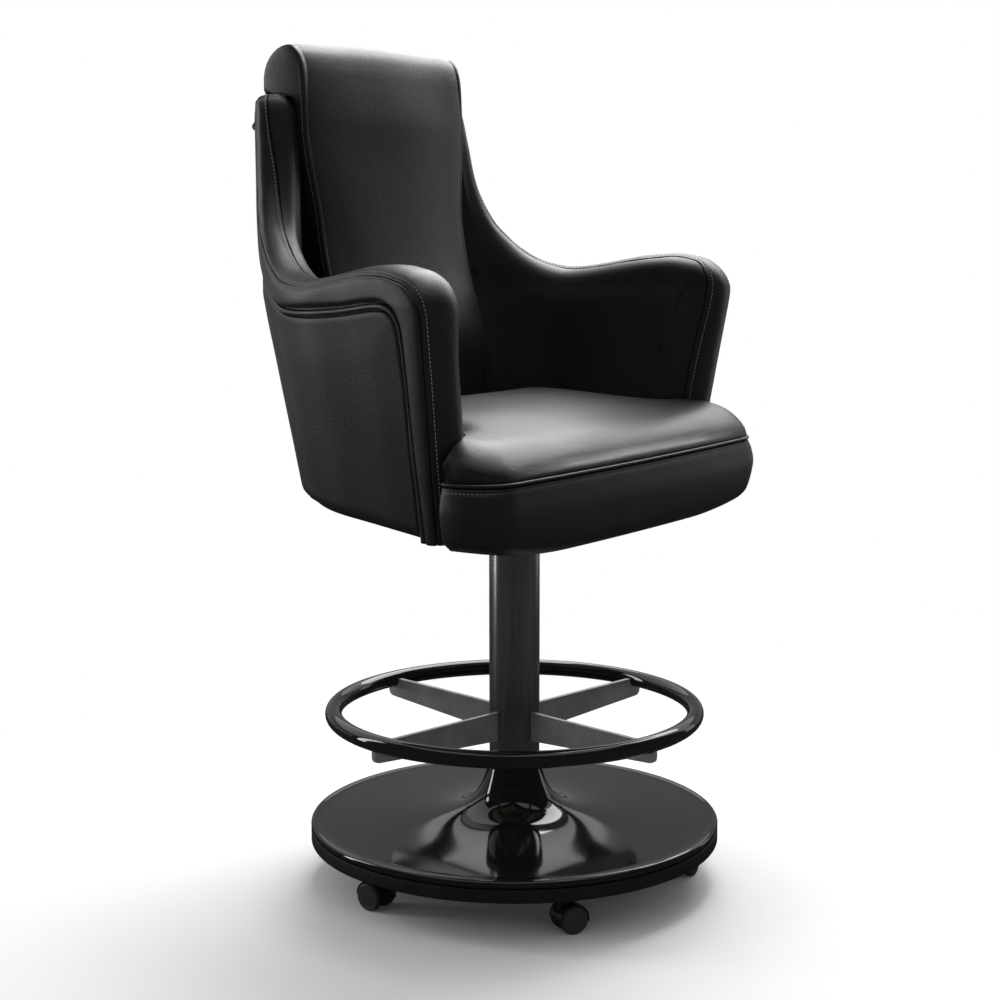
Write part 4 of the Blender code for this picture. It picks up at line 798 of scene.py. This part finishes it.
def build_panel():
    """The outside panel: pillowed inside its edge and pulled under the tub's foot."""
    near = np.array([0, 0.0006, 0.0016, 0.003, 0.005, 0.0075, 0.011, 0.016, 0.023]) / 0.25
    shares = np.concatenate([near, np.linspace(0.14, 0.9, 22), np.linspace(0.92, 1, 6)])
    flat = np.stack([panel_column(u, shares) for u in STATIONS], 1)
    away = edge_distance(flat, read(PANEL_CURVE, STATIONS)[::2])
    s, z = flat[..., 0], flat[..., 1]
    half = half_thickness(s)
    n = half - PANEL_SINK + 0.85 * turned_in(away, 0.0065) + 0.0018 * smooth_step(away, 0, 0.06)
    n += turned_in(z - tub_bottom(s), PANEL_UNDER)
    inner = both_sides(tub(s, z, np.minimum(n, half - SHELL_RECESS) - 0.003))
    foot = tub_bottom(s[-1]) + 0.0003
    tuck, tail = ([both_sides(tub(s[-1], foot + up, n[-1] - drop)[None]) for drop in TUCK_DROPS]
                  for up in (0, 0.004))
    base = np.concatenate([both_sides(tub(s, z, n))] + tuck)
    outwards = np.zeros(base.shape)
    outwards[:len(s)] = both_sides(tub_outward(np.dstack([s, z, n])))
    normals = grid_normals(base, outwards)
    base += normals * (0.0004 * soft_noise(base, 0.14, 21))[..., None]
    inner[..., 2] = np.maximum(inner[..., 2], base[-1:, :, 2] + 0.004)
    piece("side_panel", *sheet_mesh(base, np.concatenate([inner] + tail)), "leather_dark",
          nodes=["outside_panel"], fill=0.7)


def build_panel_welt():
    """The sewn cord that fills the groove between the border and the panel."""
    outer, inner = read(GROOVE_CURVE, STATIONS), read(PANEL_CURVE, STATIONS)
    s, z = (outer * 0.48 + inner * 0.52).T
    width = np.maximum(0.0016, np.linalg.norm(outer - inner, axis=1) * 0.4)
    path, above = (both_sides(tub(s, z, half_thickness(s) + n)[None])[0] for n in (-0.0068, 0.01))
    seam_tube("panel_welt", path, unit(above - path), there_and_back(width), 0.0042)


def build_core():
    """The frame under the leather: it shows only down the grooves and from below."""
    point, inward = edge_point(STATIONS)
    top = point + inward * 0.012
    top[:, 1] = np.maximum(top[:, 1], tub_bottom(top[:, 0]) + 0.0012)
    foot_s = np.interp(STATIONS, *PANEL_FOOT.T)
    foot_s = np.where(STATIONS < 0.05, 0.01 + 0.8 * STATIONS, foot_s)
    foot_s = np.maximum.accumulate(np.minimum(foot_s, PLAN_HALF))
    foot = np.stack([foot_s, tub_bottom(foot_s) + 0.0012], 1)
    flat = top[None] + (foot - top)[None] * np.linspace(0, 1, 12)[:, None, None]
    s, z = flat[..., 0], flat[..., 1]
    away = edge_distance(flat, EDGE[::4])
    room = half_thickness(s) * crown_share(np.minimum(away, CROWN_HEIGHT))
    outer = both_sides(tub(s, z, np.minimum(room, half_thickness(s)) - SHELL_RECESS))
    recess = 0.0015 + 0.011 * (1 - smooth_step(away, 0.03, 0.06))
    piece("tub_core", *sheet_mesh(outer, both_sides(tub(s, z, recess - room))), "leather_dark",
          slot="leather", nodes=["tub_shell"], fill=0.9)


def lining_path(u):
    """From the inner seam over the crown and down the tub's inner face to the seat board."""
    inner = float(np.interp(u, *INNER_CURVE.T))
    crown = crown_points(u, np.linspace(inner, -90, 30) if inner > -90 else np.array([inner]))
    start = crown[-1, :2].copy()
    foot = np.array([np.interp(u, *LINING_FOOT.T), BOARD_TOP + 0.001])
    start[1] = max(start[1], foot[1] + 0.0005)
    reach = min(0.45 * np.linalg.norm(foot - start), LINING_REACH)
    handle = start + edge_point(u)[1] * reach
    handle[0] = min(handle[0], max(foot[0], start[0] + 0.004))
    t = np.linspace(0, 1, 30)[1:, None]
    curve = (1 - t) ** 2 * start + 2 * t * (1 - t) * handle + t * t * foot
    share = inner_share(edge_distance(curve, EDGE[::4]), -np.ones(len(curve)), u)
    return np.vstack([crown, np.column_stack([curve, share * half_thickness(curve[:, 0])])])


def build_linings():
    """The inner faces, swollen over their foam and turned in along the bands."""
    stations = edge_stations(LINING_END)
    near = np.array([0, 0.0003, 0.0008, 0.0016, 0.0026, 0.004, 0.006, 0.009, 0.013, 0.018,
                     0.025, 0.034])
    flat = column_grid(lining_path, stations, np.append(near / 0.3, np.linspace(0.15, 1, 26)))
    base = to_world(flat)
    normals = grid_normals(base, -tub_outward(flat))
    away = distance_rows(base)
    front_arm = 1 - smooth_step(stations, 0.25, 0.45)
    swell = smooth_step(away, 0.008 * front_arm, 0.06 + 0.04 * front_arm) ** 0.8
    lift = turned_in(away, SEAM_ROUND) + (LINING_SWELL - 0.0005) * swell
    last = stations[-1] - stations
    lift = lift * smooth_step(last, 0, 0.03) - 0.0012 * (1 - smooth_step(last, 0, 0.01))
    lift += 0.00035 * np.exp(-away / 0.014) * soft_noise(base, 0.035, 31)
    lift += 0.0005 * soft_noise(base, 0.15, 32)
    front = base + normals * lift[..., None]
    pair("lining", *sheet_mesh(front, base - normals * LINING_DEPTH), "inner_lining")


# Seat cushion


def inner_half_width(y, z):
    """Half the free width between the tub's inner faces at a distance y behind the axis."""
    s = np.linspace(0, PLAN_HALF, 400)
    share = inner_share(s, -np.ones(len(s)), 0.1)
    room = 0.001 + (WALL_ROOM - 0.001) * smooth_step(s, 0.03, 0.1)
    face = tub(s, z, share * half_thickness(s) - room)
    return np.interp(y, face[:, 1] - COLUMN_Y, -face[:, 0])


def cushion_rows(z, inset):
    """Rows (y, half width) of the cushion's plan at a height: front corner, ears and sides."""
    half = CUSHION_HALF_WIDTH - inset
    turn = math.tau / 4 * np.arange(13) / 12
    corner = np.column_stack([inset - CUSHION_FRONT + CUSHION_CORNER * (1 - np.cos(turn)),
                              half - CUSHION_CORNER * (1 - np.sin(turn))])
    ear = [(-EAR_REAR - 0.004, half), (-EAR_REAR - 0.0008, half - 0.0012),
           (-EAR_REAR, half - 0.0042)]
    y = np.linspace(-EAR_REAR + EAR_STEP, CUSHION_REAR - CUSHION_REAR_CORNER, 22)
    width = inner_half_width(y, z)
    turn = math.tau / 4 * np.arange(1, 8) / 7
    rear = np.column_stack([y[-1] + CUSHION_REAR_CORNER * np.sin(turn),
                            width[-1] - CUSHION_REAR_CORNER * (1 - np.cos(turn))])
    return np.vstack([corner, ear, np.column_stack([y, width]), rear])


def cushion_grid(z, inset):
    """Plan points of the cushion, row by row, with its front edge bowed forwards."""
    rows = cushion_rows(z, inset)
    front = rows[0, 0]
    share = np.linspace(-1, 1, 73)
    middle = inner_half_width(-EAR_REAR + EAR_STEP, z) - 0.006
    grid = []
    for y, half in rows:
        fade = max(0, (-EAR_REAR - y) / (-EAR_REAR - front))
        core = min(middle, 0.86 * half) if y <= -EAR_REAR else half - 0.006
        beyond = np.clip((np.abs(share) - CORE_SHARE) / (1 - CORE_SHARE), 0, 1)
        x = np.sign(share) * (core * np.minimum(1, np.abs(share) / CORE_SHARE)
                              + (half - core) * beyond)
        bow = CUSHION_BOW * fade * (1 - (x / CUSHION_HALF_WIDTH) ** 2)
        grid.append(np.stack([x, y - bow], 1))
    return np.array(grid)


def crown_rise(grid):
    """The height of the crowned top over its seam, and the distance from the seam."""
    border = rim_of(grid)
    away = np.full(grid.shape[:-1], 1e9)
    for a, b in zip(border, np.roll(border, -1, axis=0)):
        if min(a[1], b[1]) >= -EAR_REAR - 0.0045 and max(a[1], b[1]) <= -EAR_REAR + 0.004:
            continue
        y = (a[1] + b[1]) / 2
        fade = 1 - smooth_step(y, -EAR_REAR, -EAR_REAR + 0.085)
        beside = 0 if y < -EAR_REAR else CROWN_BESIDE * fade
        away = np.minimum(away, edge_distance(grid, np.array([a, b])) + beside)
    run = quarter_round((grid[..., 1] + CUSHION_FRONT) / CROWN_RUN)
    share = CROWN_FRONT_SHARE + (1 - CROWN_FRONT_SHARE) * run
    height = CUSHION_TOP - WELT_LEVEL - WELT_RADIUS
    return height * quarter_round(away / CROWN_EDGE) * share, away


def swept_up(x, z):
    """How far the underside has risen towards its sides."""
    fade = np.clip((BOARD_TOP - z) / (BOARD_TOP - CUSHION_BOTTOM), 0, 1)
    side = np.maximum(0, np.abs(x) / CUSHION_HALF_WIDTH - SWEEP_SHARE) / (1 - SWEEP_SHARE)
    return CUSHION_SWEEP * fade * side ** 2


def capped(rim, start, shape):
    """Point numbers of a cap: the rim's are given, and the inside's count up from start."""
    at = np.zeros(shape, int)
    i, j = rim_of(np.dstack(np.indices(shape))).T
    at[i, j] = rim
    at[1:-1, 1:-1] = numbered(shape[0] - 2, shape[1] - 2, start)
    return at


def build_cushion():
    """Crowned top, box side and underside in one body, drawn in at the welt's seams."""
    seam_top, seam_low = WELT_LEVEL + WELT_RADIUS, WELT_LEVEL - WELT_RADIUS
    rings = []
    for share, inset in catmull(BOX_SHARES, 5):
        z = CUSHION_BOTTOM + share * (seam_low - CUSHION_BOTTOM)
        border = rim_of(cushion_grid(z, inset * CUSHION_TUCK - turned_in(seam_low - z, 0.0035)))
        if z <= BOARD_TOP + 0.001:
            border[:, 1] = np.minimum(border[:, 1], -EAR_REAR)
        ring = np.column_stack([border, z + swept_up(border[:, 0], z)])
        ring -= unit(ring - (0, -0.16, z)) * 0.0005 * dent(seam_low - z, BOX_STITCH, 0.0012)
        rings.append(ring)
    border = rim_of(cushion_grid(WELT_LEVEL, 0.0045))
    for z in (seam_low + 0.0003, seam_top - 0.0003):
        rings.append(np.column_stack([border, np.full(len(border), z)]))
    grid = cushion_grid(WELT_LEVEL, 0.0012)
    rise, away = crown_rise(grid)
    top = np.dstack([grid, seam_top + 0.0004 + rise])
    wobble = 0.0011 * soft_noise(top, 0.17, 41) * smooth_step(away, 0, 0.05)
    wobble += (0.0004 * soft_noise(top, 0.04, 42) * np.exp(-away / 0.015)
               * smooth_step(away, 0, 0.004))
    top[..., 2] += wobble
    rings.append(rim_of(top))
    side = numbered(len(rings), len(border))
    inside = top[1:-1, 1:-1].reshape(-1, 3)
    over = capped(side[-1], side.size, grid.shape[:2])
    under = capped(side[0], side.size + len(inside), grid.shape[:2])
    left, right = (rings[0][under[1:-1, k]][:, None] for k in (0, -1))
    columns = grid.shape[1]
    floor = left + (right - left) * (np.arange(1, columns - 1) / (columns - 1))[:, None]
    floor[..., 2] = CUSHION_BOTTOM + swept_up(floor[..., 0], CUSHION_BOTTOM)
    verts = np.vstack([*rings, inside, floor.reshape(-1, 3)]) + (0, COLUMN_Y, 0)
    faces = grid_faces(looped(side)) + grid_faces(over) + grid_faces(under.T)
    piece("cushion_body", verts, faces, nodes=["seat_cushion"], fill=0.8)


def build_cushion_welt():
    """The welt round the cushion, and the stitches under it along the front."""
    line, low = (rim_of(cushion_grid(WELT_LEVEL, inset)) for inset in (0.0008, -0.001))
    path = np.column_stack([line, np.full(len(line), WELT_LEVEL)]) + (0, COLUMN_Y, 0)
    up = np.tile([0, 0, 1], (len(path), 1))
    seam_tube("cushion_welt", path, up, WELT_RADIUS * 0.95, WELT_RADIUS * 0.92, closed=True)
    front = [i for i, p in enumerate(line) if p[1] < -EAR_REAR - 0.0035]
    run = sorted(front, key=lambda i: (i + len(line) // 2) % len(line))
    level = WELT_LEVEL - WELT_RADIUS - BOX_STITCH
    path = np.column_stack([low[run], np.full(len(run), level)]) + (0, COLUMN_Y, 0)
    stitches("stitches_cushion", path, unit(path - (0, -0.1, level)))


# Back pad


def rounded_corner(corner, before, after, radius, steps=4):
    """A corner of a profile, rounded between the points before and after it."""
    corner, before, after = (np.array(p, float) for p in (corner, before, after))
    a = corner + unit(before - corner) * radius
    b = corner + unit(after - corner) * radius
    t = np.linspace(0, 1, steps + 1)[:, None]
    return list((1 - t) ** 2 * a + 2 * t * (1 - t) * corner + t * t * b)


def pad_half(z):
    head = smooth_step(z, 0.86, 1)
    return PAD_HALF_WIDTH + (PAD_HEAD_HALF_WIDTH - PAD_HALF_WIDTH) * head


def pad_profile():
    """The pad's side as (y, z): up the front, over the rolled head and down to the wing top."""
    z = np.append(np.linspace(PAD_BOTTOM, 1.05, 66), np.linspace(1.053, 1.09, 14))
    shares = read(catmull(PAD_FRONT_SHARES, 16), (z - PAD_BOTTOM) / (PAD_SHARE_TOP - PAD_BOTTOM))
    front = np.column_stack([PAD_WAIST_Y + (PAD_HEAD_Y - PAD_WAIST_Y) * shares, z])
    turn = np.radians(np.linspace(84, 0, 20))
    top = PAD_TOP + PAD_HEAD_LIFT
    centre = np.array([PAD_HEAD_REAR, top]) - PAD_HEAD_ROLL
    arch = centre + PAD_HEAD_ROLL * np.column_stack([np.cos(turn), np.sin(turn)])
    tip = (front[-1, 0] + PAD_HEAD_LIFT, top)
    nose = rounded_corner(tip, front[-1], arch[0], 0.0045, 6)[1:-1]
    down = np.column_stack([np.full(8, PAD_HEAD_REAR),
                            np.linspace(centre[1], WING_TOP + 0.0015, 9)[1:]])
    return np.vstack([front, nose, arch, down])


def pad_rear_y(x, z):
    """Where the tub's inner face is behind the pad."""
    s = np.linspace(0.2, PLAN_HALF, 160)
    face = tub(s, min(z, WING_TOP), -half_thickness(s) - 0.0006)
    return float(np.interp(-np.abs(x), face[:, 0], face[:, 1] - COLUMN_Y))


def build_pad():
    """The wrap of the front, head and back, and the two gussets sewn to it."""
    profile = pad_profile()
    lengths = arc_lengths(profile)
    profile = along(profile, lengths, np.linspace(0, lengths[-1], 190))
    y, z = profile.T
    width = pad_half(z)
    across = (2 * seam_shares(0.32, 0.01) - 1)[:, None]
    base = np.stack(np.broadcast_arrays(across * width, y + COLUMN_Y, z), -1)
    normals = grid_normals(base, base - PAD_MIDDLE)
    full = PAD_CROWN * smooth_step(z, 0.64, 0.74) * (1 - 0.72 * smooth_step(z, 0.99, 1.075))
    full = np.where((y > 0.262) & (z < 1.075), 0.0015, full)
    side = (1 - np.abs(across)) * width
    lift = full * (1 - across ** 2) ** 0.9 + turned_in(side, SEAM_ROUND)
    lift += 0.0028 * (quarter_round(side / 0.02) - 1)
    lift += 0.0008 * soft_noise(base, 0.19, 51) * smooth_step(side, 0, 0.05)
    lift += 0.0003 * soft_noise(base, 0.045, 52) * np.exp(-side / 0.012)
    front = base + normals * lift[..., None]
    piece("pad_wrap", *sheet_mesh(front, base - normals * PAD_DEPTH), nodes=["back_pad"], fill=0.85)
    build_gussets(profile)


def build_gussets(profile):
    """Boxed sides: each lies between the pad's front line and its rear line."""
    top = int(np.argmax(profile[:, 1]))
    front = profile[:top + 1]
    lengths = arc_lengths(front)
    front = along(front, lengths, np.linspace(0, 1, 90) * lengths[-1])
    behind = profile[top:][::-1]
    low_z = np.linspace(PAD_BOTTOM, WING_TOP - 0.004, 60)
    low = np.column_stack([[pad_rear_y(pad_half(z), z) for z in low_z], low_z])
    corner = (behind[0, 0] - 0.012, WING_TOP + 0.0012)
    keys = np.concatenate([low_z, [WING_TOP - 0.0005],
                           np.linspace(WING_TOP, PAD_TOP, len(behind))])
    rear = along(np.vstack([low, corner, behind]), keys, front[:, 1] / front[-1, 1] * PAD_TOP)
    rear[-1] = front[-1]
    gap = np.linalg.norm(rear - front, axis=1)
    close = np.array([0, 0.0003, 0.0008, 0.0016, 0.0026, 0.004, 0.0052, 0.0058, 0.0066, 0.009])
    first = np.minimum(close[:, None], gap * np.linspace(0, 0.3, len(close))[:, None])
    shares = np.append(np.linspace(0.1, 0.9, 9), [0.95, 0.98, 1])[:, None]
    near = np.concatenate([first, first[-1:] + (gap - first[-1:]) * shares])
    shares = near / np.maximum(gap, 1e-9)
    flat = front + (rear - front) * shares[..., None]
    half = pad_half(front[:, 1])
    swell = 0.0026 * arched(shares) ** 0.6 * np.minimum(1, gap / 0.04)
    lift = swell + turned_in(near, SEAM_ROUND) + turned_in(gap - near, SEAM_ROUND) - 0.0004
    outer = np.dstack([-(half + lift), flat[..., 0] + COLUMN_Y, flat[..., 1]])
    outer[..., 0] += 0.0003 * soft_noise(outer, 0.06, 61)
    inner = outer.copy()
    inner[..., 0] = 0.012 - half
    pair("pad_gusset", *sheet_mesh(outer, inner), fill=0.85)
    path = outer[7, 2:-5]
    facing = np.tile([-1, 0, 0], (len(path), 1))
    stitch_pair("stitches_pad", path, facing, pitch=0.0045, length=0.003, radius=0.0003)


# Base, ring, column and casters


def turned(profile, sides):
    """A profile of (radius, height), turned: one ring of points for each of its points."""
    r, h = np.array(profile, float).T[..., None]
    angle = np.arange(sides) * math.tau / sides
    return np.stack(np.broadcast_arrays(r * np.cos(angle), r * np.sin(angle), h), -1)


def lathe(name, profile, facets, finish, body, node_name):
    """A closed profile turned about the column's axis."""
    verts = turned(profile, facets) + (0, COLUMN_Y, 0)
    piece(name, verts.reshape(-1, 3), torus_faces(numbered(*verts.shape[:2])), finish, body,
          nodes=[node_name], sharp=38)


def rounded_box(inner, outer, low, high, radii, steps=4):
    """The section of a ring with square corners, rounded where radii aren't zero."""
    points = [(inner, low), (outer, low), (outer, high), (inner, high)]
    made = []
    for i, (point, radius) in enumerate(zip(points, radii)):
        if radius > 0:
            made += rounded_corner(point, points[i - 1], points[(i + 1) % 4], radius, steps)
        else:
            made.append(np.array(point))
    return made


def disc_section(neck):
    """The spun disc: a trumpet-shaped neck, a flat, and a rolled rim, 1.8 mm thick."""
    roll, sheet = 0.0052, 0.0018
    rim = 0.2712 - roll
    level = 0.0742 + 0.0003 + roll
    flat, top, power = 0.0828, 0.152, 2.1
    radius = neck * (rim / neck) ** np.linspace(0, 0.985, 64)
    outer = [(r, flat + (top - flat) * (neck / r) ** power) for r in radius]
    bead = [(rim + roll * math.sin(a), level + roll * math.cos(a))
            for a in np.linspace(-0.35, math.pi, 20)]
    inner = [(rim - sheet, level - roll), (rim - sheet, level + roll - 0.0022)]
    inner += [(r - sheet * (neck / r) ** power, h - sheet) for r, h in outer[:0:-4]]
    return outer + bead + inner + [(neck - sheet, top)]


def build_base():
    """The turned pieces from the disc's skirt to the shroud under the seat, and the foot ring."""
    neck, tube = COLUMN_RADIUS + 0.0024, COLUMN_RADIUS
    lathe("disc_cover", disc_section(neck), 192, "gloss_black", "base", "base_cover")
    skirt = rounded_box(0.2453, 0.2712, 0.057, 0.0742, (0, 0.0022, 0.0016, 0))
    lathe("skirt_ring", skirt, 160, "rubber", "base", "base_bumper")
    collar = rounded_box(tube + 0.0003, neck + 0.003, 0.1523, 0.1633, (0, 0.0008, 0.0022, 0))
    lathe("collar_ring", collar, 96, "rubber", "base", "neck_collar")
    column = rounded_box(tube - COLUMN_WALL, tube, COLUMN_BOTTOM, COLUMN_TOP,
                         (0, 0, 0.0006, 0))
    lathe("column_tube", column, 128, "satin_black", "base", "column")
    shroud = rounded_box(tube + 0.003, tube + 0.0048, 0.448, 0.4918, (0.0005, 0.0005, 0, 0), 2)
    lathe("shroud_tube", shroud, 96, "satin_black", "seat", "bearing_shroud")
    ring = [(0.2398 + 0.011 * math.cos(a), 0.2277 + 0.011 * math.sin(a))
            for a in np.arange(28) * math.tau / 28]
    lathe("foot_rail", ring, 192, "gloss_black", "base", "foot_ring")


def placed(points, i):
    """Caster coordinates (across, along, up) to world coordinates for caster i."""
    angle = math.radians(CASTER_FIRST + 72 * i)
    turn = angle + math.radians(CASTER_TURNS[i])
    c, s = math.cos(turn), math.sin(turn)
    x, y, z = points.T
    return np.stack([CASTER_CIRCLE * math.cos(angle) + c * x - s * y,
                     COLUMN_Y + CASTER_CIRCLE * math.sin(angle) + s * x + c * y, z], -1)


def arc(radius, start, end, steps):
    """Points (along, up) on a circle about the wheels' axle."""
    turn = np.radians(np.linspace(start, end, steps + 1))
    return np.column_stack([TRAIL + radius * np.cos(turn), WHEEL_RADIUS + radius * np.sin(turn)])


def prism(outline, half, soft=0.0008):
    """Rings of a prism across a caster, with softened ends."""
    outline = np.array(outline, float)
    inwards = unit(outline.mean(axis=0) - outline)
    ends = ((-half, soft), (-half + soft * 0.3, soft * 0.3), (-half + soft, 0))
    ends += tuple((-x, shrink) for x, shrink in ends[::-1])
    return np.array([np.column_stack([np.full(len(outline), x), outline + inwards * shrink])
                     for x, shrink in ends])


def hood(radius, thick, half, soft=0.0005):
    """Rings of an arched strip across a caster, with softened outer edges."""
    outer, inner = (arc(r, -12, 178, 40) for r in (radius + thick, radius))
    low = outer - unit(outer - inner) * soft
    corners = ((-half, inner), (half, inner), (half, low), (half - soft, outer),
               (soft - half, outer), (-half, low))
    return np.stack([np.column_stack([np.full(len(p), x), p]) for x, p in corners], 1)


def caster_housing():
    """Web, hood, neck and boss of a twin-wheel caster."""
    neck = [(-0.007, WHEEL_RADIUS), (TRAIL, WHEEL_RADIUS), (TRAIL, NECK_TOP - 0.002),
            (TRAIL - 0.003, NECK_TOP), (-0.006, NECK_TOP), (-0.007, NECK_TOP - 0.001)]
    reach = WEB / 2 + WHEEL_GAP + WHEEL_WIDTH - 0.0022
    bodies = ((prism(arc(0.015, 0, 352.5, 47), WEB / 2), tube_faces),
              (hood(WHEEL_RADIUS + WHEEL_GAP, 0.0018, reach), tube_faces),
              (prism(neck, WEB / 2), tube_faces), (turned(BOSS, 32), torus_faces))
    verts, faces = np.zeros((0, 3)), []
    for rings, faces_of in bodies:
        faces += faces_of(numbered(*rings.shape[:2], len(verts)))
        verts = np.vstack([verts, rings.reshape(-1, 3)])
    return verts, faces


def caster_wheel(side):
    """A wheel with a rounded tread, a face set in a shallow rim and a hub in its middle."""
    inner = WEB / 2 + WHEEL_GAP
    outer = inner + WHEEL_WIDTH
    back = [(0.0028, 0), (0.017, 0), (0.0178, 0.0006), (WHEEL_RADIUS, 0.0016)]
    face = [(WHEEL_RADIUS, 0.0034), (0.0178, 0.0022), (0.0172, 0.0011), (0.0163, 0.0004),
            (0.0154, 0.0002), (0.0148, 0.0005), (0.0142, 0.0006), (0.011, 0.0003),
            (0.0066, 0.0001), (0.0052, 0), (0.0003, 0), (0.0003, 0.003), (0.0028, 0.003)]
    profile = [(r, inner + x) for r, x in back] + [(r, outer - x) for r, x in face]
    rings = turned(profile, 56)
    verts = rings[..., (2, 0, 1)] * (side, 1, 1) + (0, TRAIL, WHEEL_RADIUS)
    return verts.reshape(-1, 3), torus_faces(numbered(*rings.shape[:2]))


def build_casters():
    housing, *wheels = caster_housing(), caster_wheel(-1), caster_wheel(1)
    for i in range(5):
        k = i + 1
        piece(f"caster_hood_{k}", placed(housing[0], i), housing[1], "caster_black", f"caster_{k}",
              nodes=[f"caster_body_{k}"], sharp=35)
        for which, (points, faces) in zip(("in", "out"), wheels):
            piece(f"wheel_{which}_{k}", placed(points, i), faces, "wheel_grey", f"wheels_{k}",
                  nodes=[f"caster_wheel_{which}_{k}"], sharp=35)


# Studio


def build_floor():
    """A pale floor that keeps the stool's shadow near it and fades to white further off."""
    rings = turned([(r, 0) for r in (0.6, 1.2, 2, 3.5, 6, 12, 30)], 96)
    at = looped(numbered(*rings.shape[:2], 1))
    faces = [(0, a, b) for a, b in zip(at[0].tolist(), at[0, 1:].tolist())] + grid_faces(at.T)
    material = bpy.data.materials.new("floor_white")
    material.use_nodes = True
    tree = material.node_tree
    tree.nodes.remove(tree.nodes["Principled BSDF"])
    matt = node(tree, "ShaderNodeBsdfDiffuse", Color=(0.9, 0.9, 0.9, 1))
    glow = node(tree, "ShaderNodeEmission", Color=(1, 1, 1, 1), Strength=1)
    place = node(tree, "ShaderNodeTexCoord").outputs["Object"]
    length = node(tree, "ShaderNodeVectorMath", place, 0, operation="LENGTH").outputs["Value"]
    fade = node(tree, "ShaderNodeMapRange", length, "Value", interpolation_type="SMOOTHSTEP",
                **{"From Min": 0.3, "From Max": 1.1})
    mix = node(tree, "ShaderNodeMixShader", fade.outputs["Result"], "Fac")
    tree.links.new(matt.outputs["BSDF"], mix.inputs[1])
    tree.links.new(glow.outputs["Emission"], mix.inputs[2])
    tree.links.new(mix.outputs["Shader"], tree.nodes["Material Output"].inputs["Surface"])
    verts = np.vstack([np.zeros((1, 3)), rings.reshape(-1, 3)])
    new_object("studio_floor", verts, faces, material, smooth=False)


def build_world():
    """White to the camera and in reflections, and a plain soft grey as light."""
    world = bpy.data.worlds.new("studio_world")
    bpy.context.scene.world = world
    world.use_nodes = True
    tree = world.node_tree
    tree.nodes.clear()
    path = node(tree, "ShaderNodeLightPath").outputs
    seen = path["Is Camera Ray"]
    for ray in ("Is Glossy Ray", "Is Transmission Ray"):
        most = node(tree, "ShaderNodeMath", seen, 0, operation="MAXIMUM")
        tree.links.new(path[ray], most.inputs[1])
        seen = most.outputs["Value"]
    mix = node(tree, "ShaderNodeMixShader", seen, "Fac")
    for slot, strength in ((1, 0.48), (2, 1)):
        white = node(tree, "ShaderNodeBackground", Color=(1, 1, 1, 1), Strength=strength)
        tree.links.new(white.outputs["Background"], mix.inputs[slot])
    node(tree, "ShaderNodeOutputWorld", mix.outputs["Shader"], "Surface")


def dark_card(name, tone, verts, faces):
    """A black studio flag that only reflections see."""
    material = bpy.data.materials.new(name + "_cloth")
    material.use_nodes = True
    set_inputs(material.node_tree.nodes["Principled BSDF"], Base_Color=(tone, tone, tone, 1),
               Roughness=1, Specular_IOR_Level=0)
    card = new_object(name, verts, faces, material, smooth=False)
    card.visible_camera = False
    card.visible_diffuse = False
    card.visible_shadow = False
    card.visible_transmission = False


def card_arc(first, last, height, radius=3.4, count=24):
    """A standing curved card between two angles round the axis, in degrees."""
    angle = np.radians(np.linspace(first, last, count + 1))
    low, high = (np.stack([radius * np.cos(angle), radius * np.sin(angle),
                           np.full(count + 1, z)], 1) for z in (0, height))
    return np.vstack([low, high]), grid_faces(numbered(2, count + 1).T)


def build_cards():
    """Flags round the camera's side, low behind and over the floor, as for black goods."""
    dark_card("flag_front", 0.02, *card_arc(108, 334, 5.2))
    dark_card("flag_low", 0.28, *card_arc(-14, 108, 1.45))
    dark_card("flag_floor", 0.02, turned([(3.3, 0.0008)], 48)[0], [tuple(range(48))])


def area_light(name, place, aim_z, width, height, power):
    """A soft box at a place, turned to a height on the middle axis."""
    data = bpy.data.lights.new(name, "AREA")
    data.shape = "RECTANGLE"
    data.size = width
    data.size_y = height
    data.energy = power
    way = np.array([0, 0, aim_z]) - place
    obj = in_scene(name, data)
    obj.location = place
    tilt = math.acos(-way[2] / np.linalg.norm(way))
    obj.rotation_euler = (tilt, 0, math.atan2(-way[0], way[1]))


def build_lights():
    area_light("soft_top", (0.85, 0.3, 2.75), 0.5, 1.5, 1.5, 44)
    area_light("soft_back", (2.15, 0.45, 2.35), 0.7, 2.4, 1.2, 50)
    area_light("strip_left", (-1.22, 2.28, 1.1), 0.5, 0.34, 2, 19)


def build_camera():
    """The photograph's view, worked out from the base's ellipses and the column."""
    data = bpy.data.cameras.new("view")
    data.sensor_width = 36
    data.lens = 70.2
    data.shift_x = -0.01445
    data.clip_end = 100
    camera = in_scene("view", data)
    turn = math.radians(54.5)
    away = 2.5232
    camera.location = (-math.sin(turn) * away, COLUMN_Y - math.cos(turn) * away, 0.8934)
    camera.rotation_euler = (math.radians(81.34), 0, -turn)
    bpy.context.scene.camera = camera


dress_kept_nodes()
build_camera()
build_world()
build_floor()
build_cards()
build_lights()
build_core()
build_roll()
build_bands()
build_panel()
build_panel_welt()
build_linings()
build_cushion()
build_cushion_welt()
build_pad()
build_base()
build_casters()
bpy.context.scene.view_settings.view_transform = "Standard"
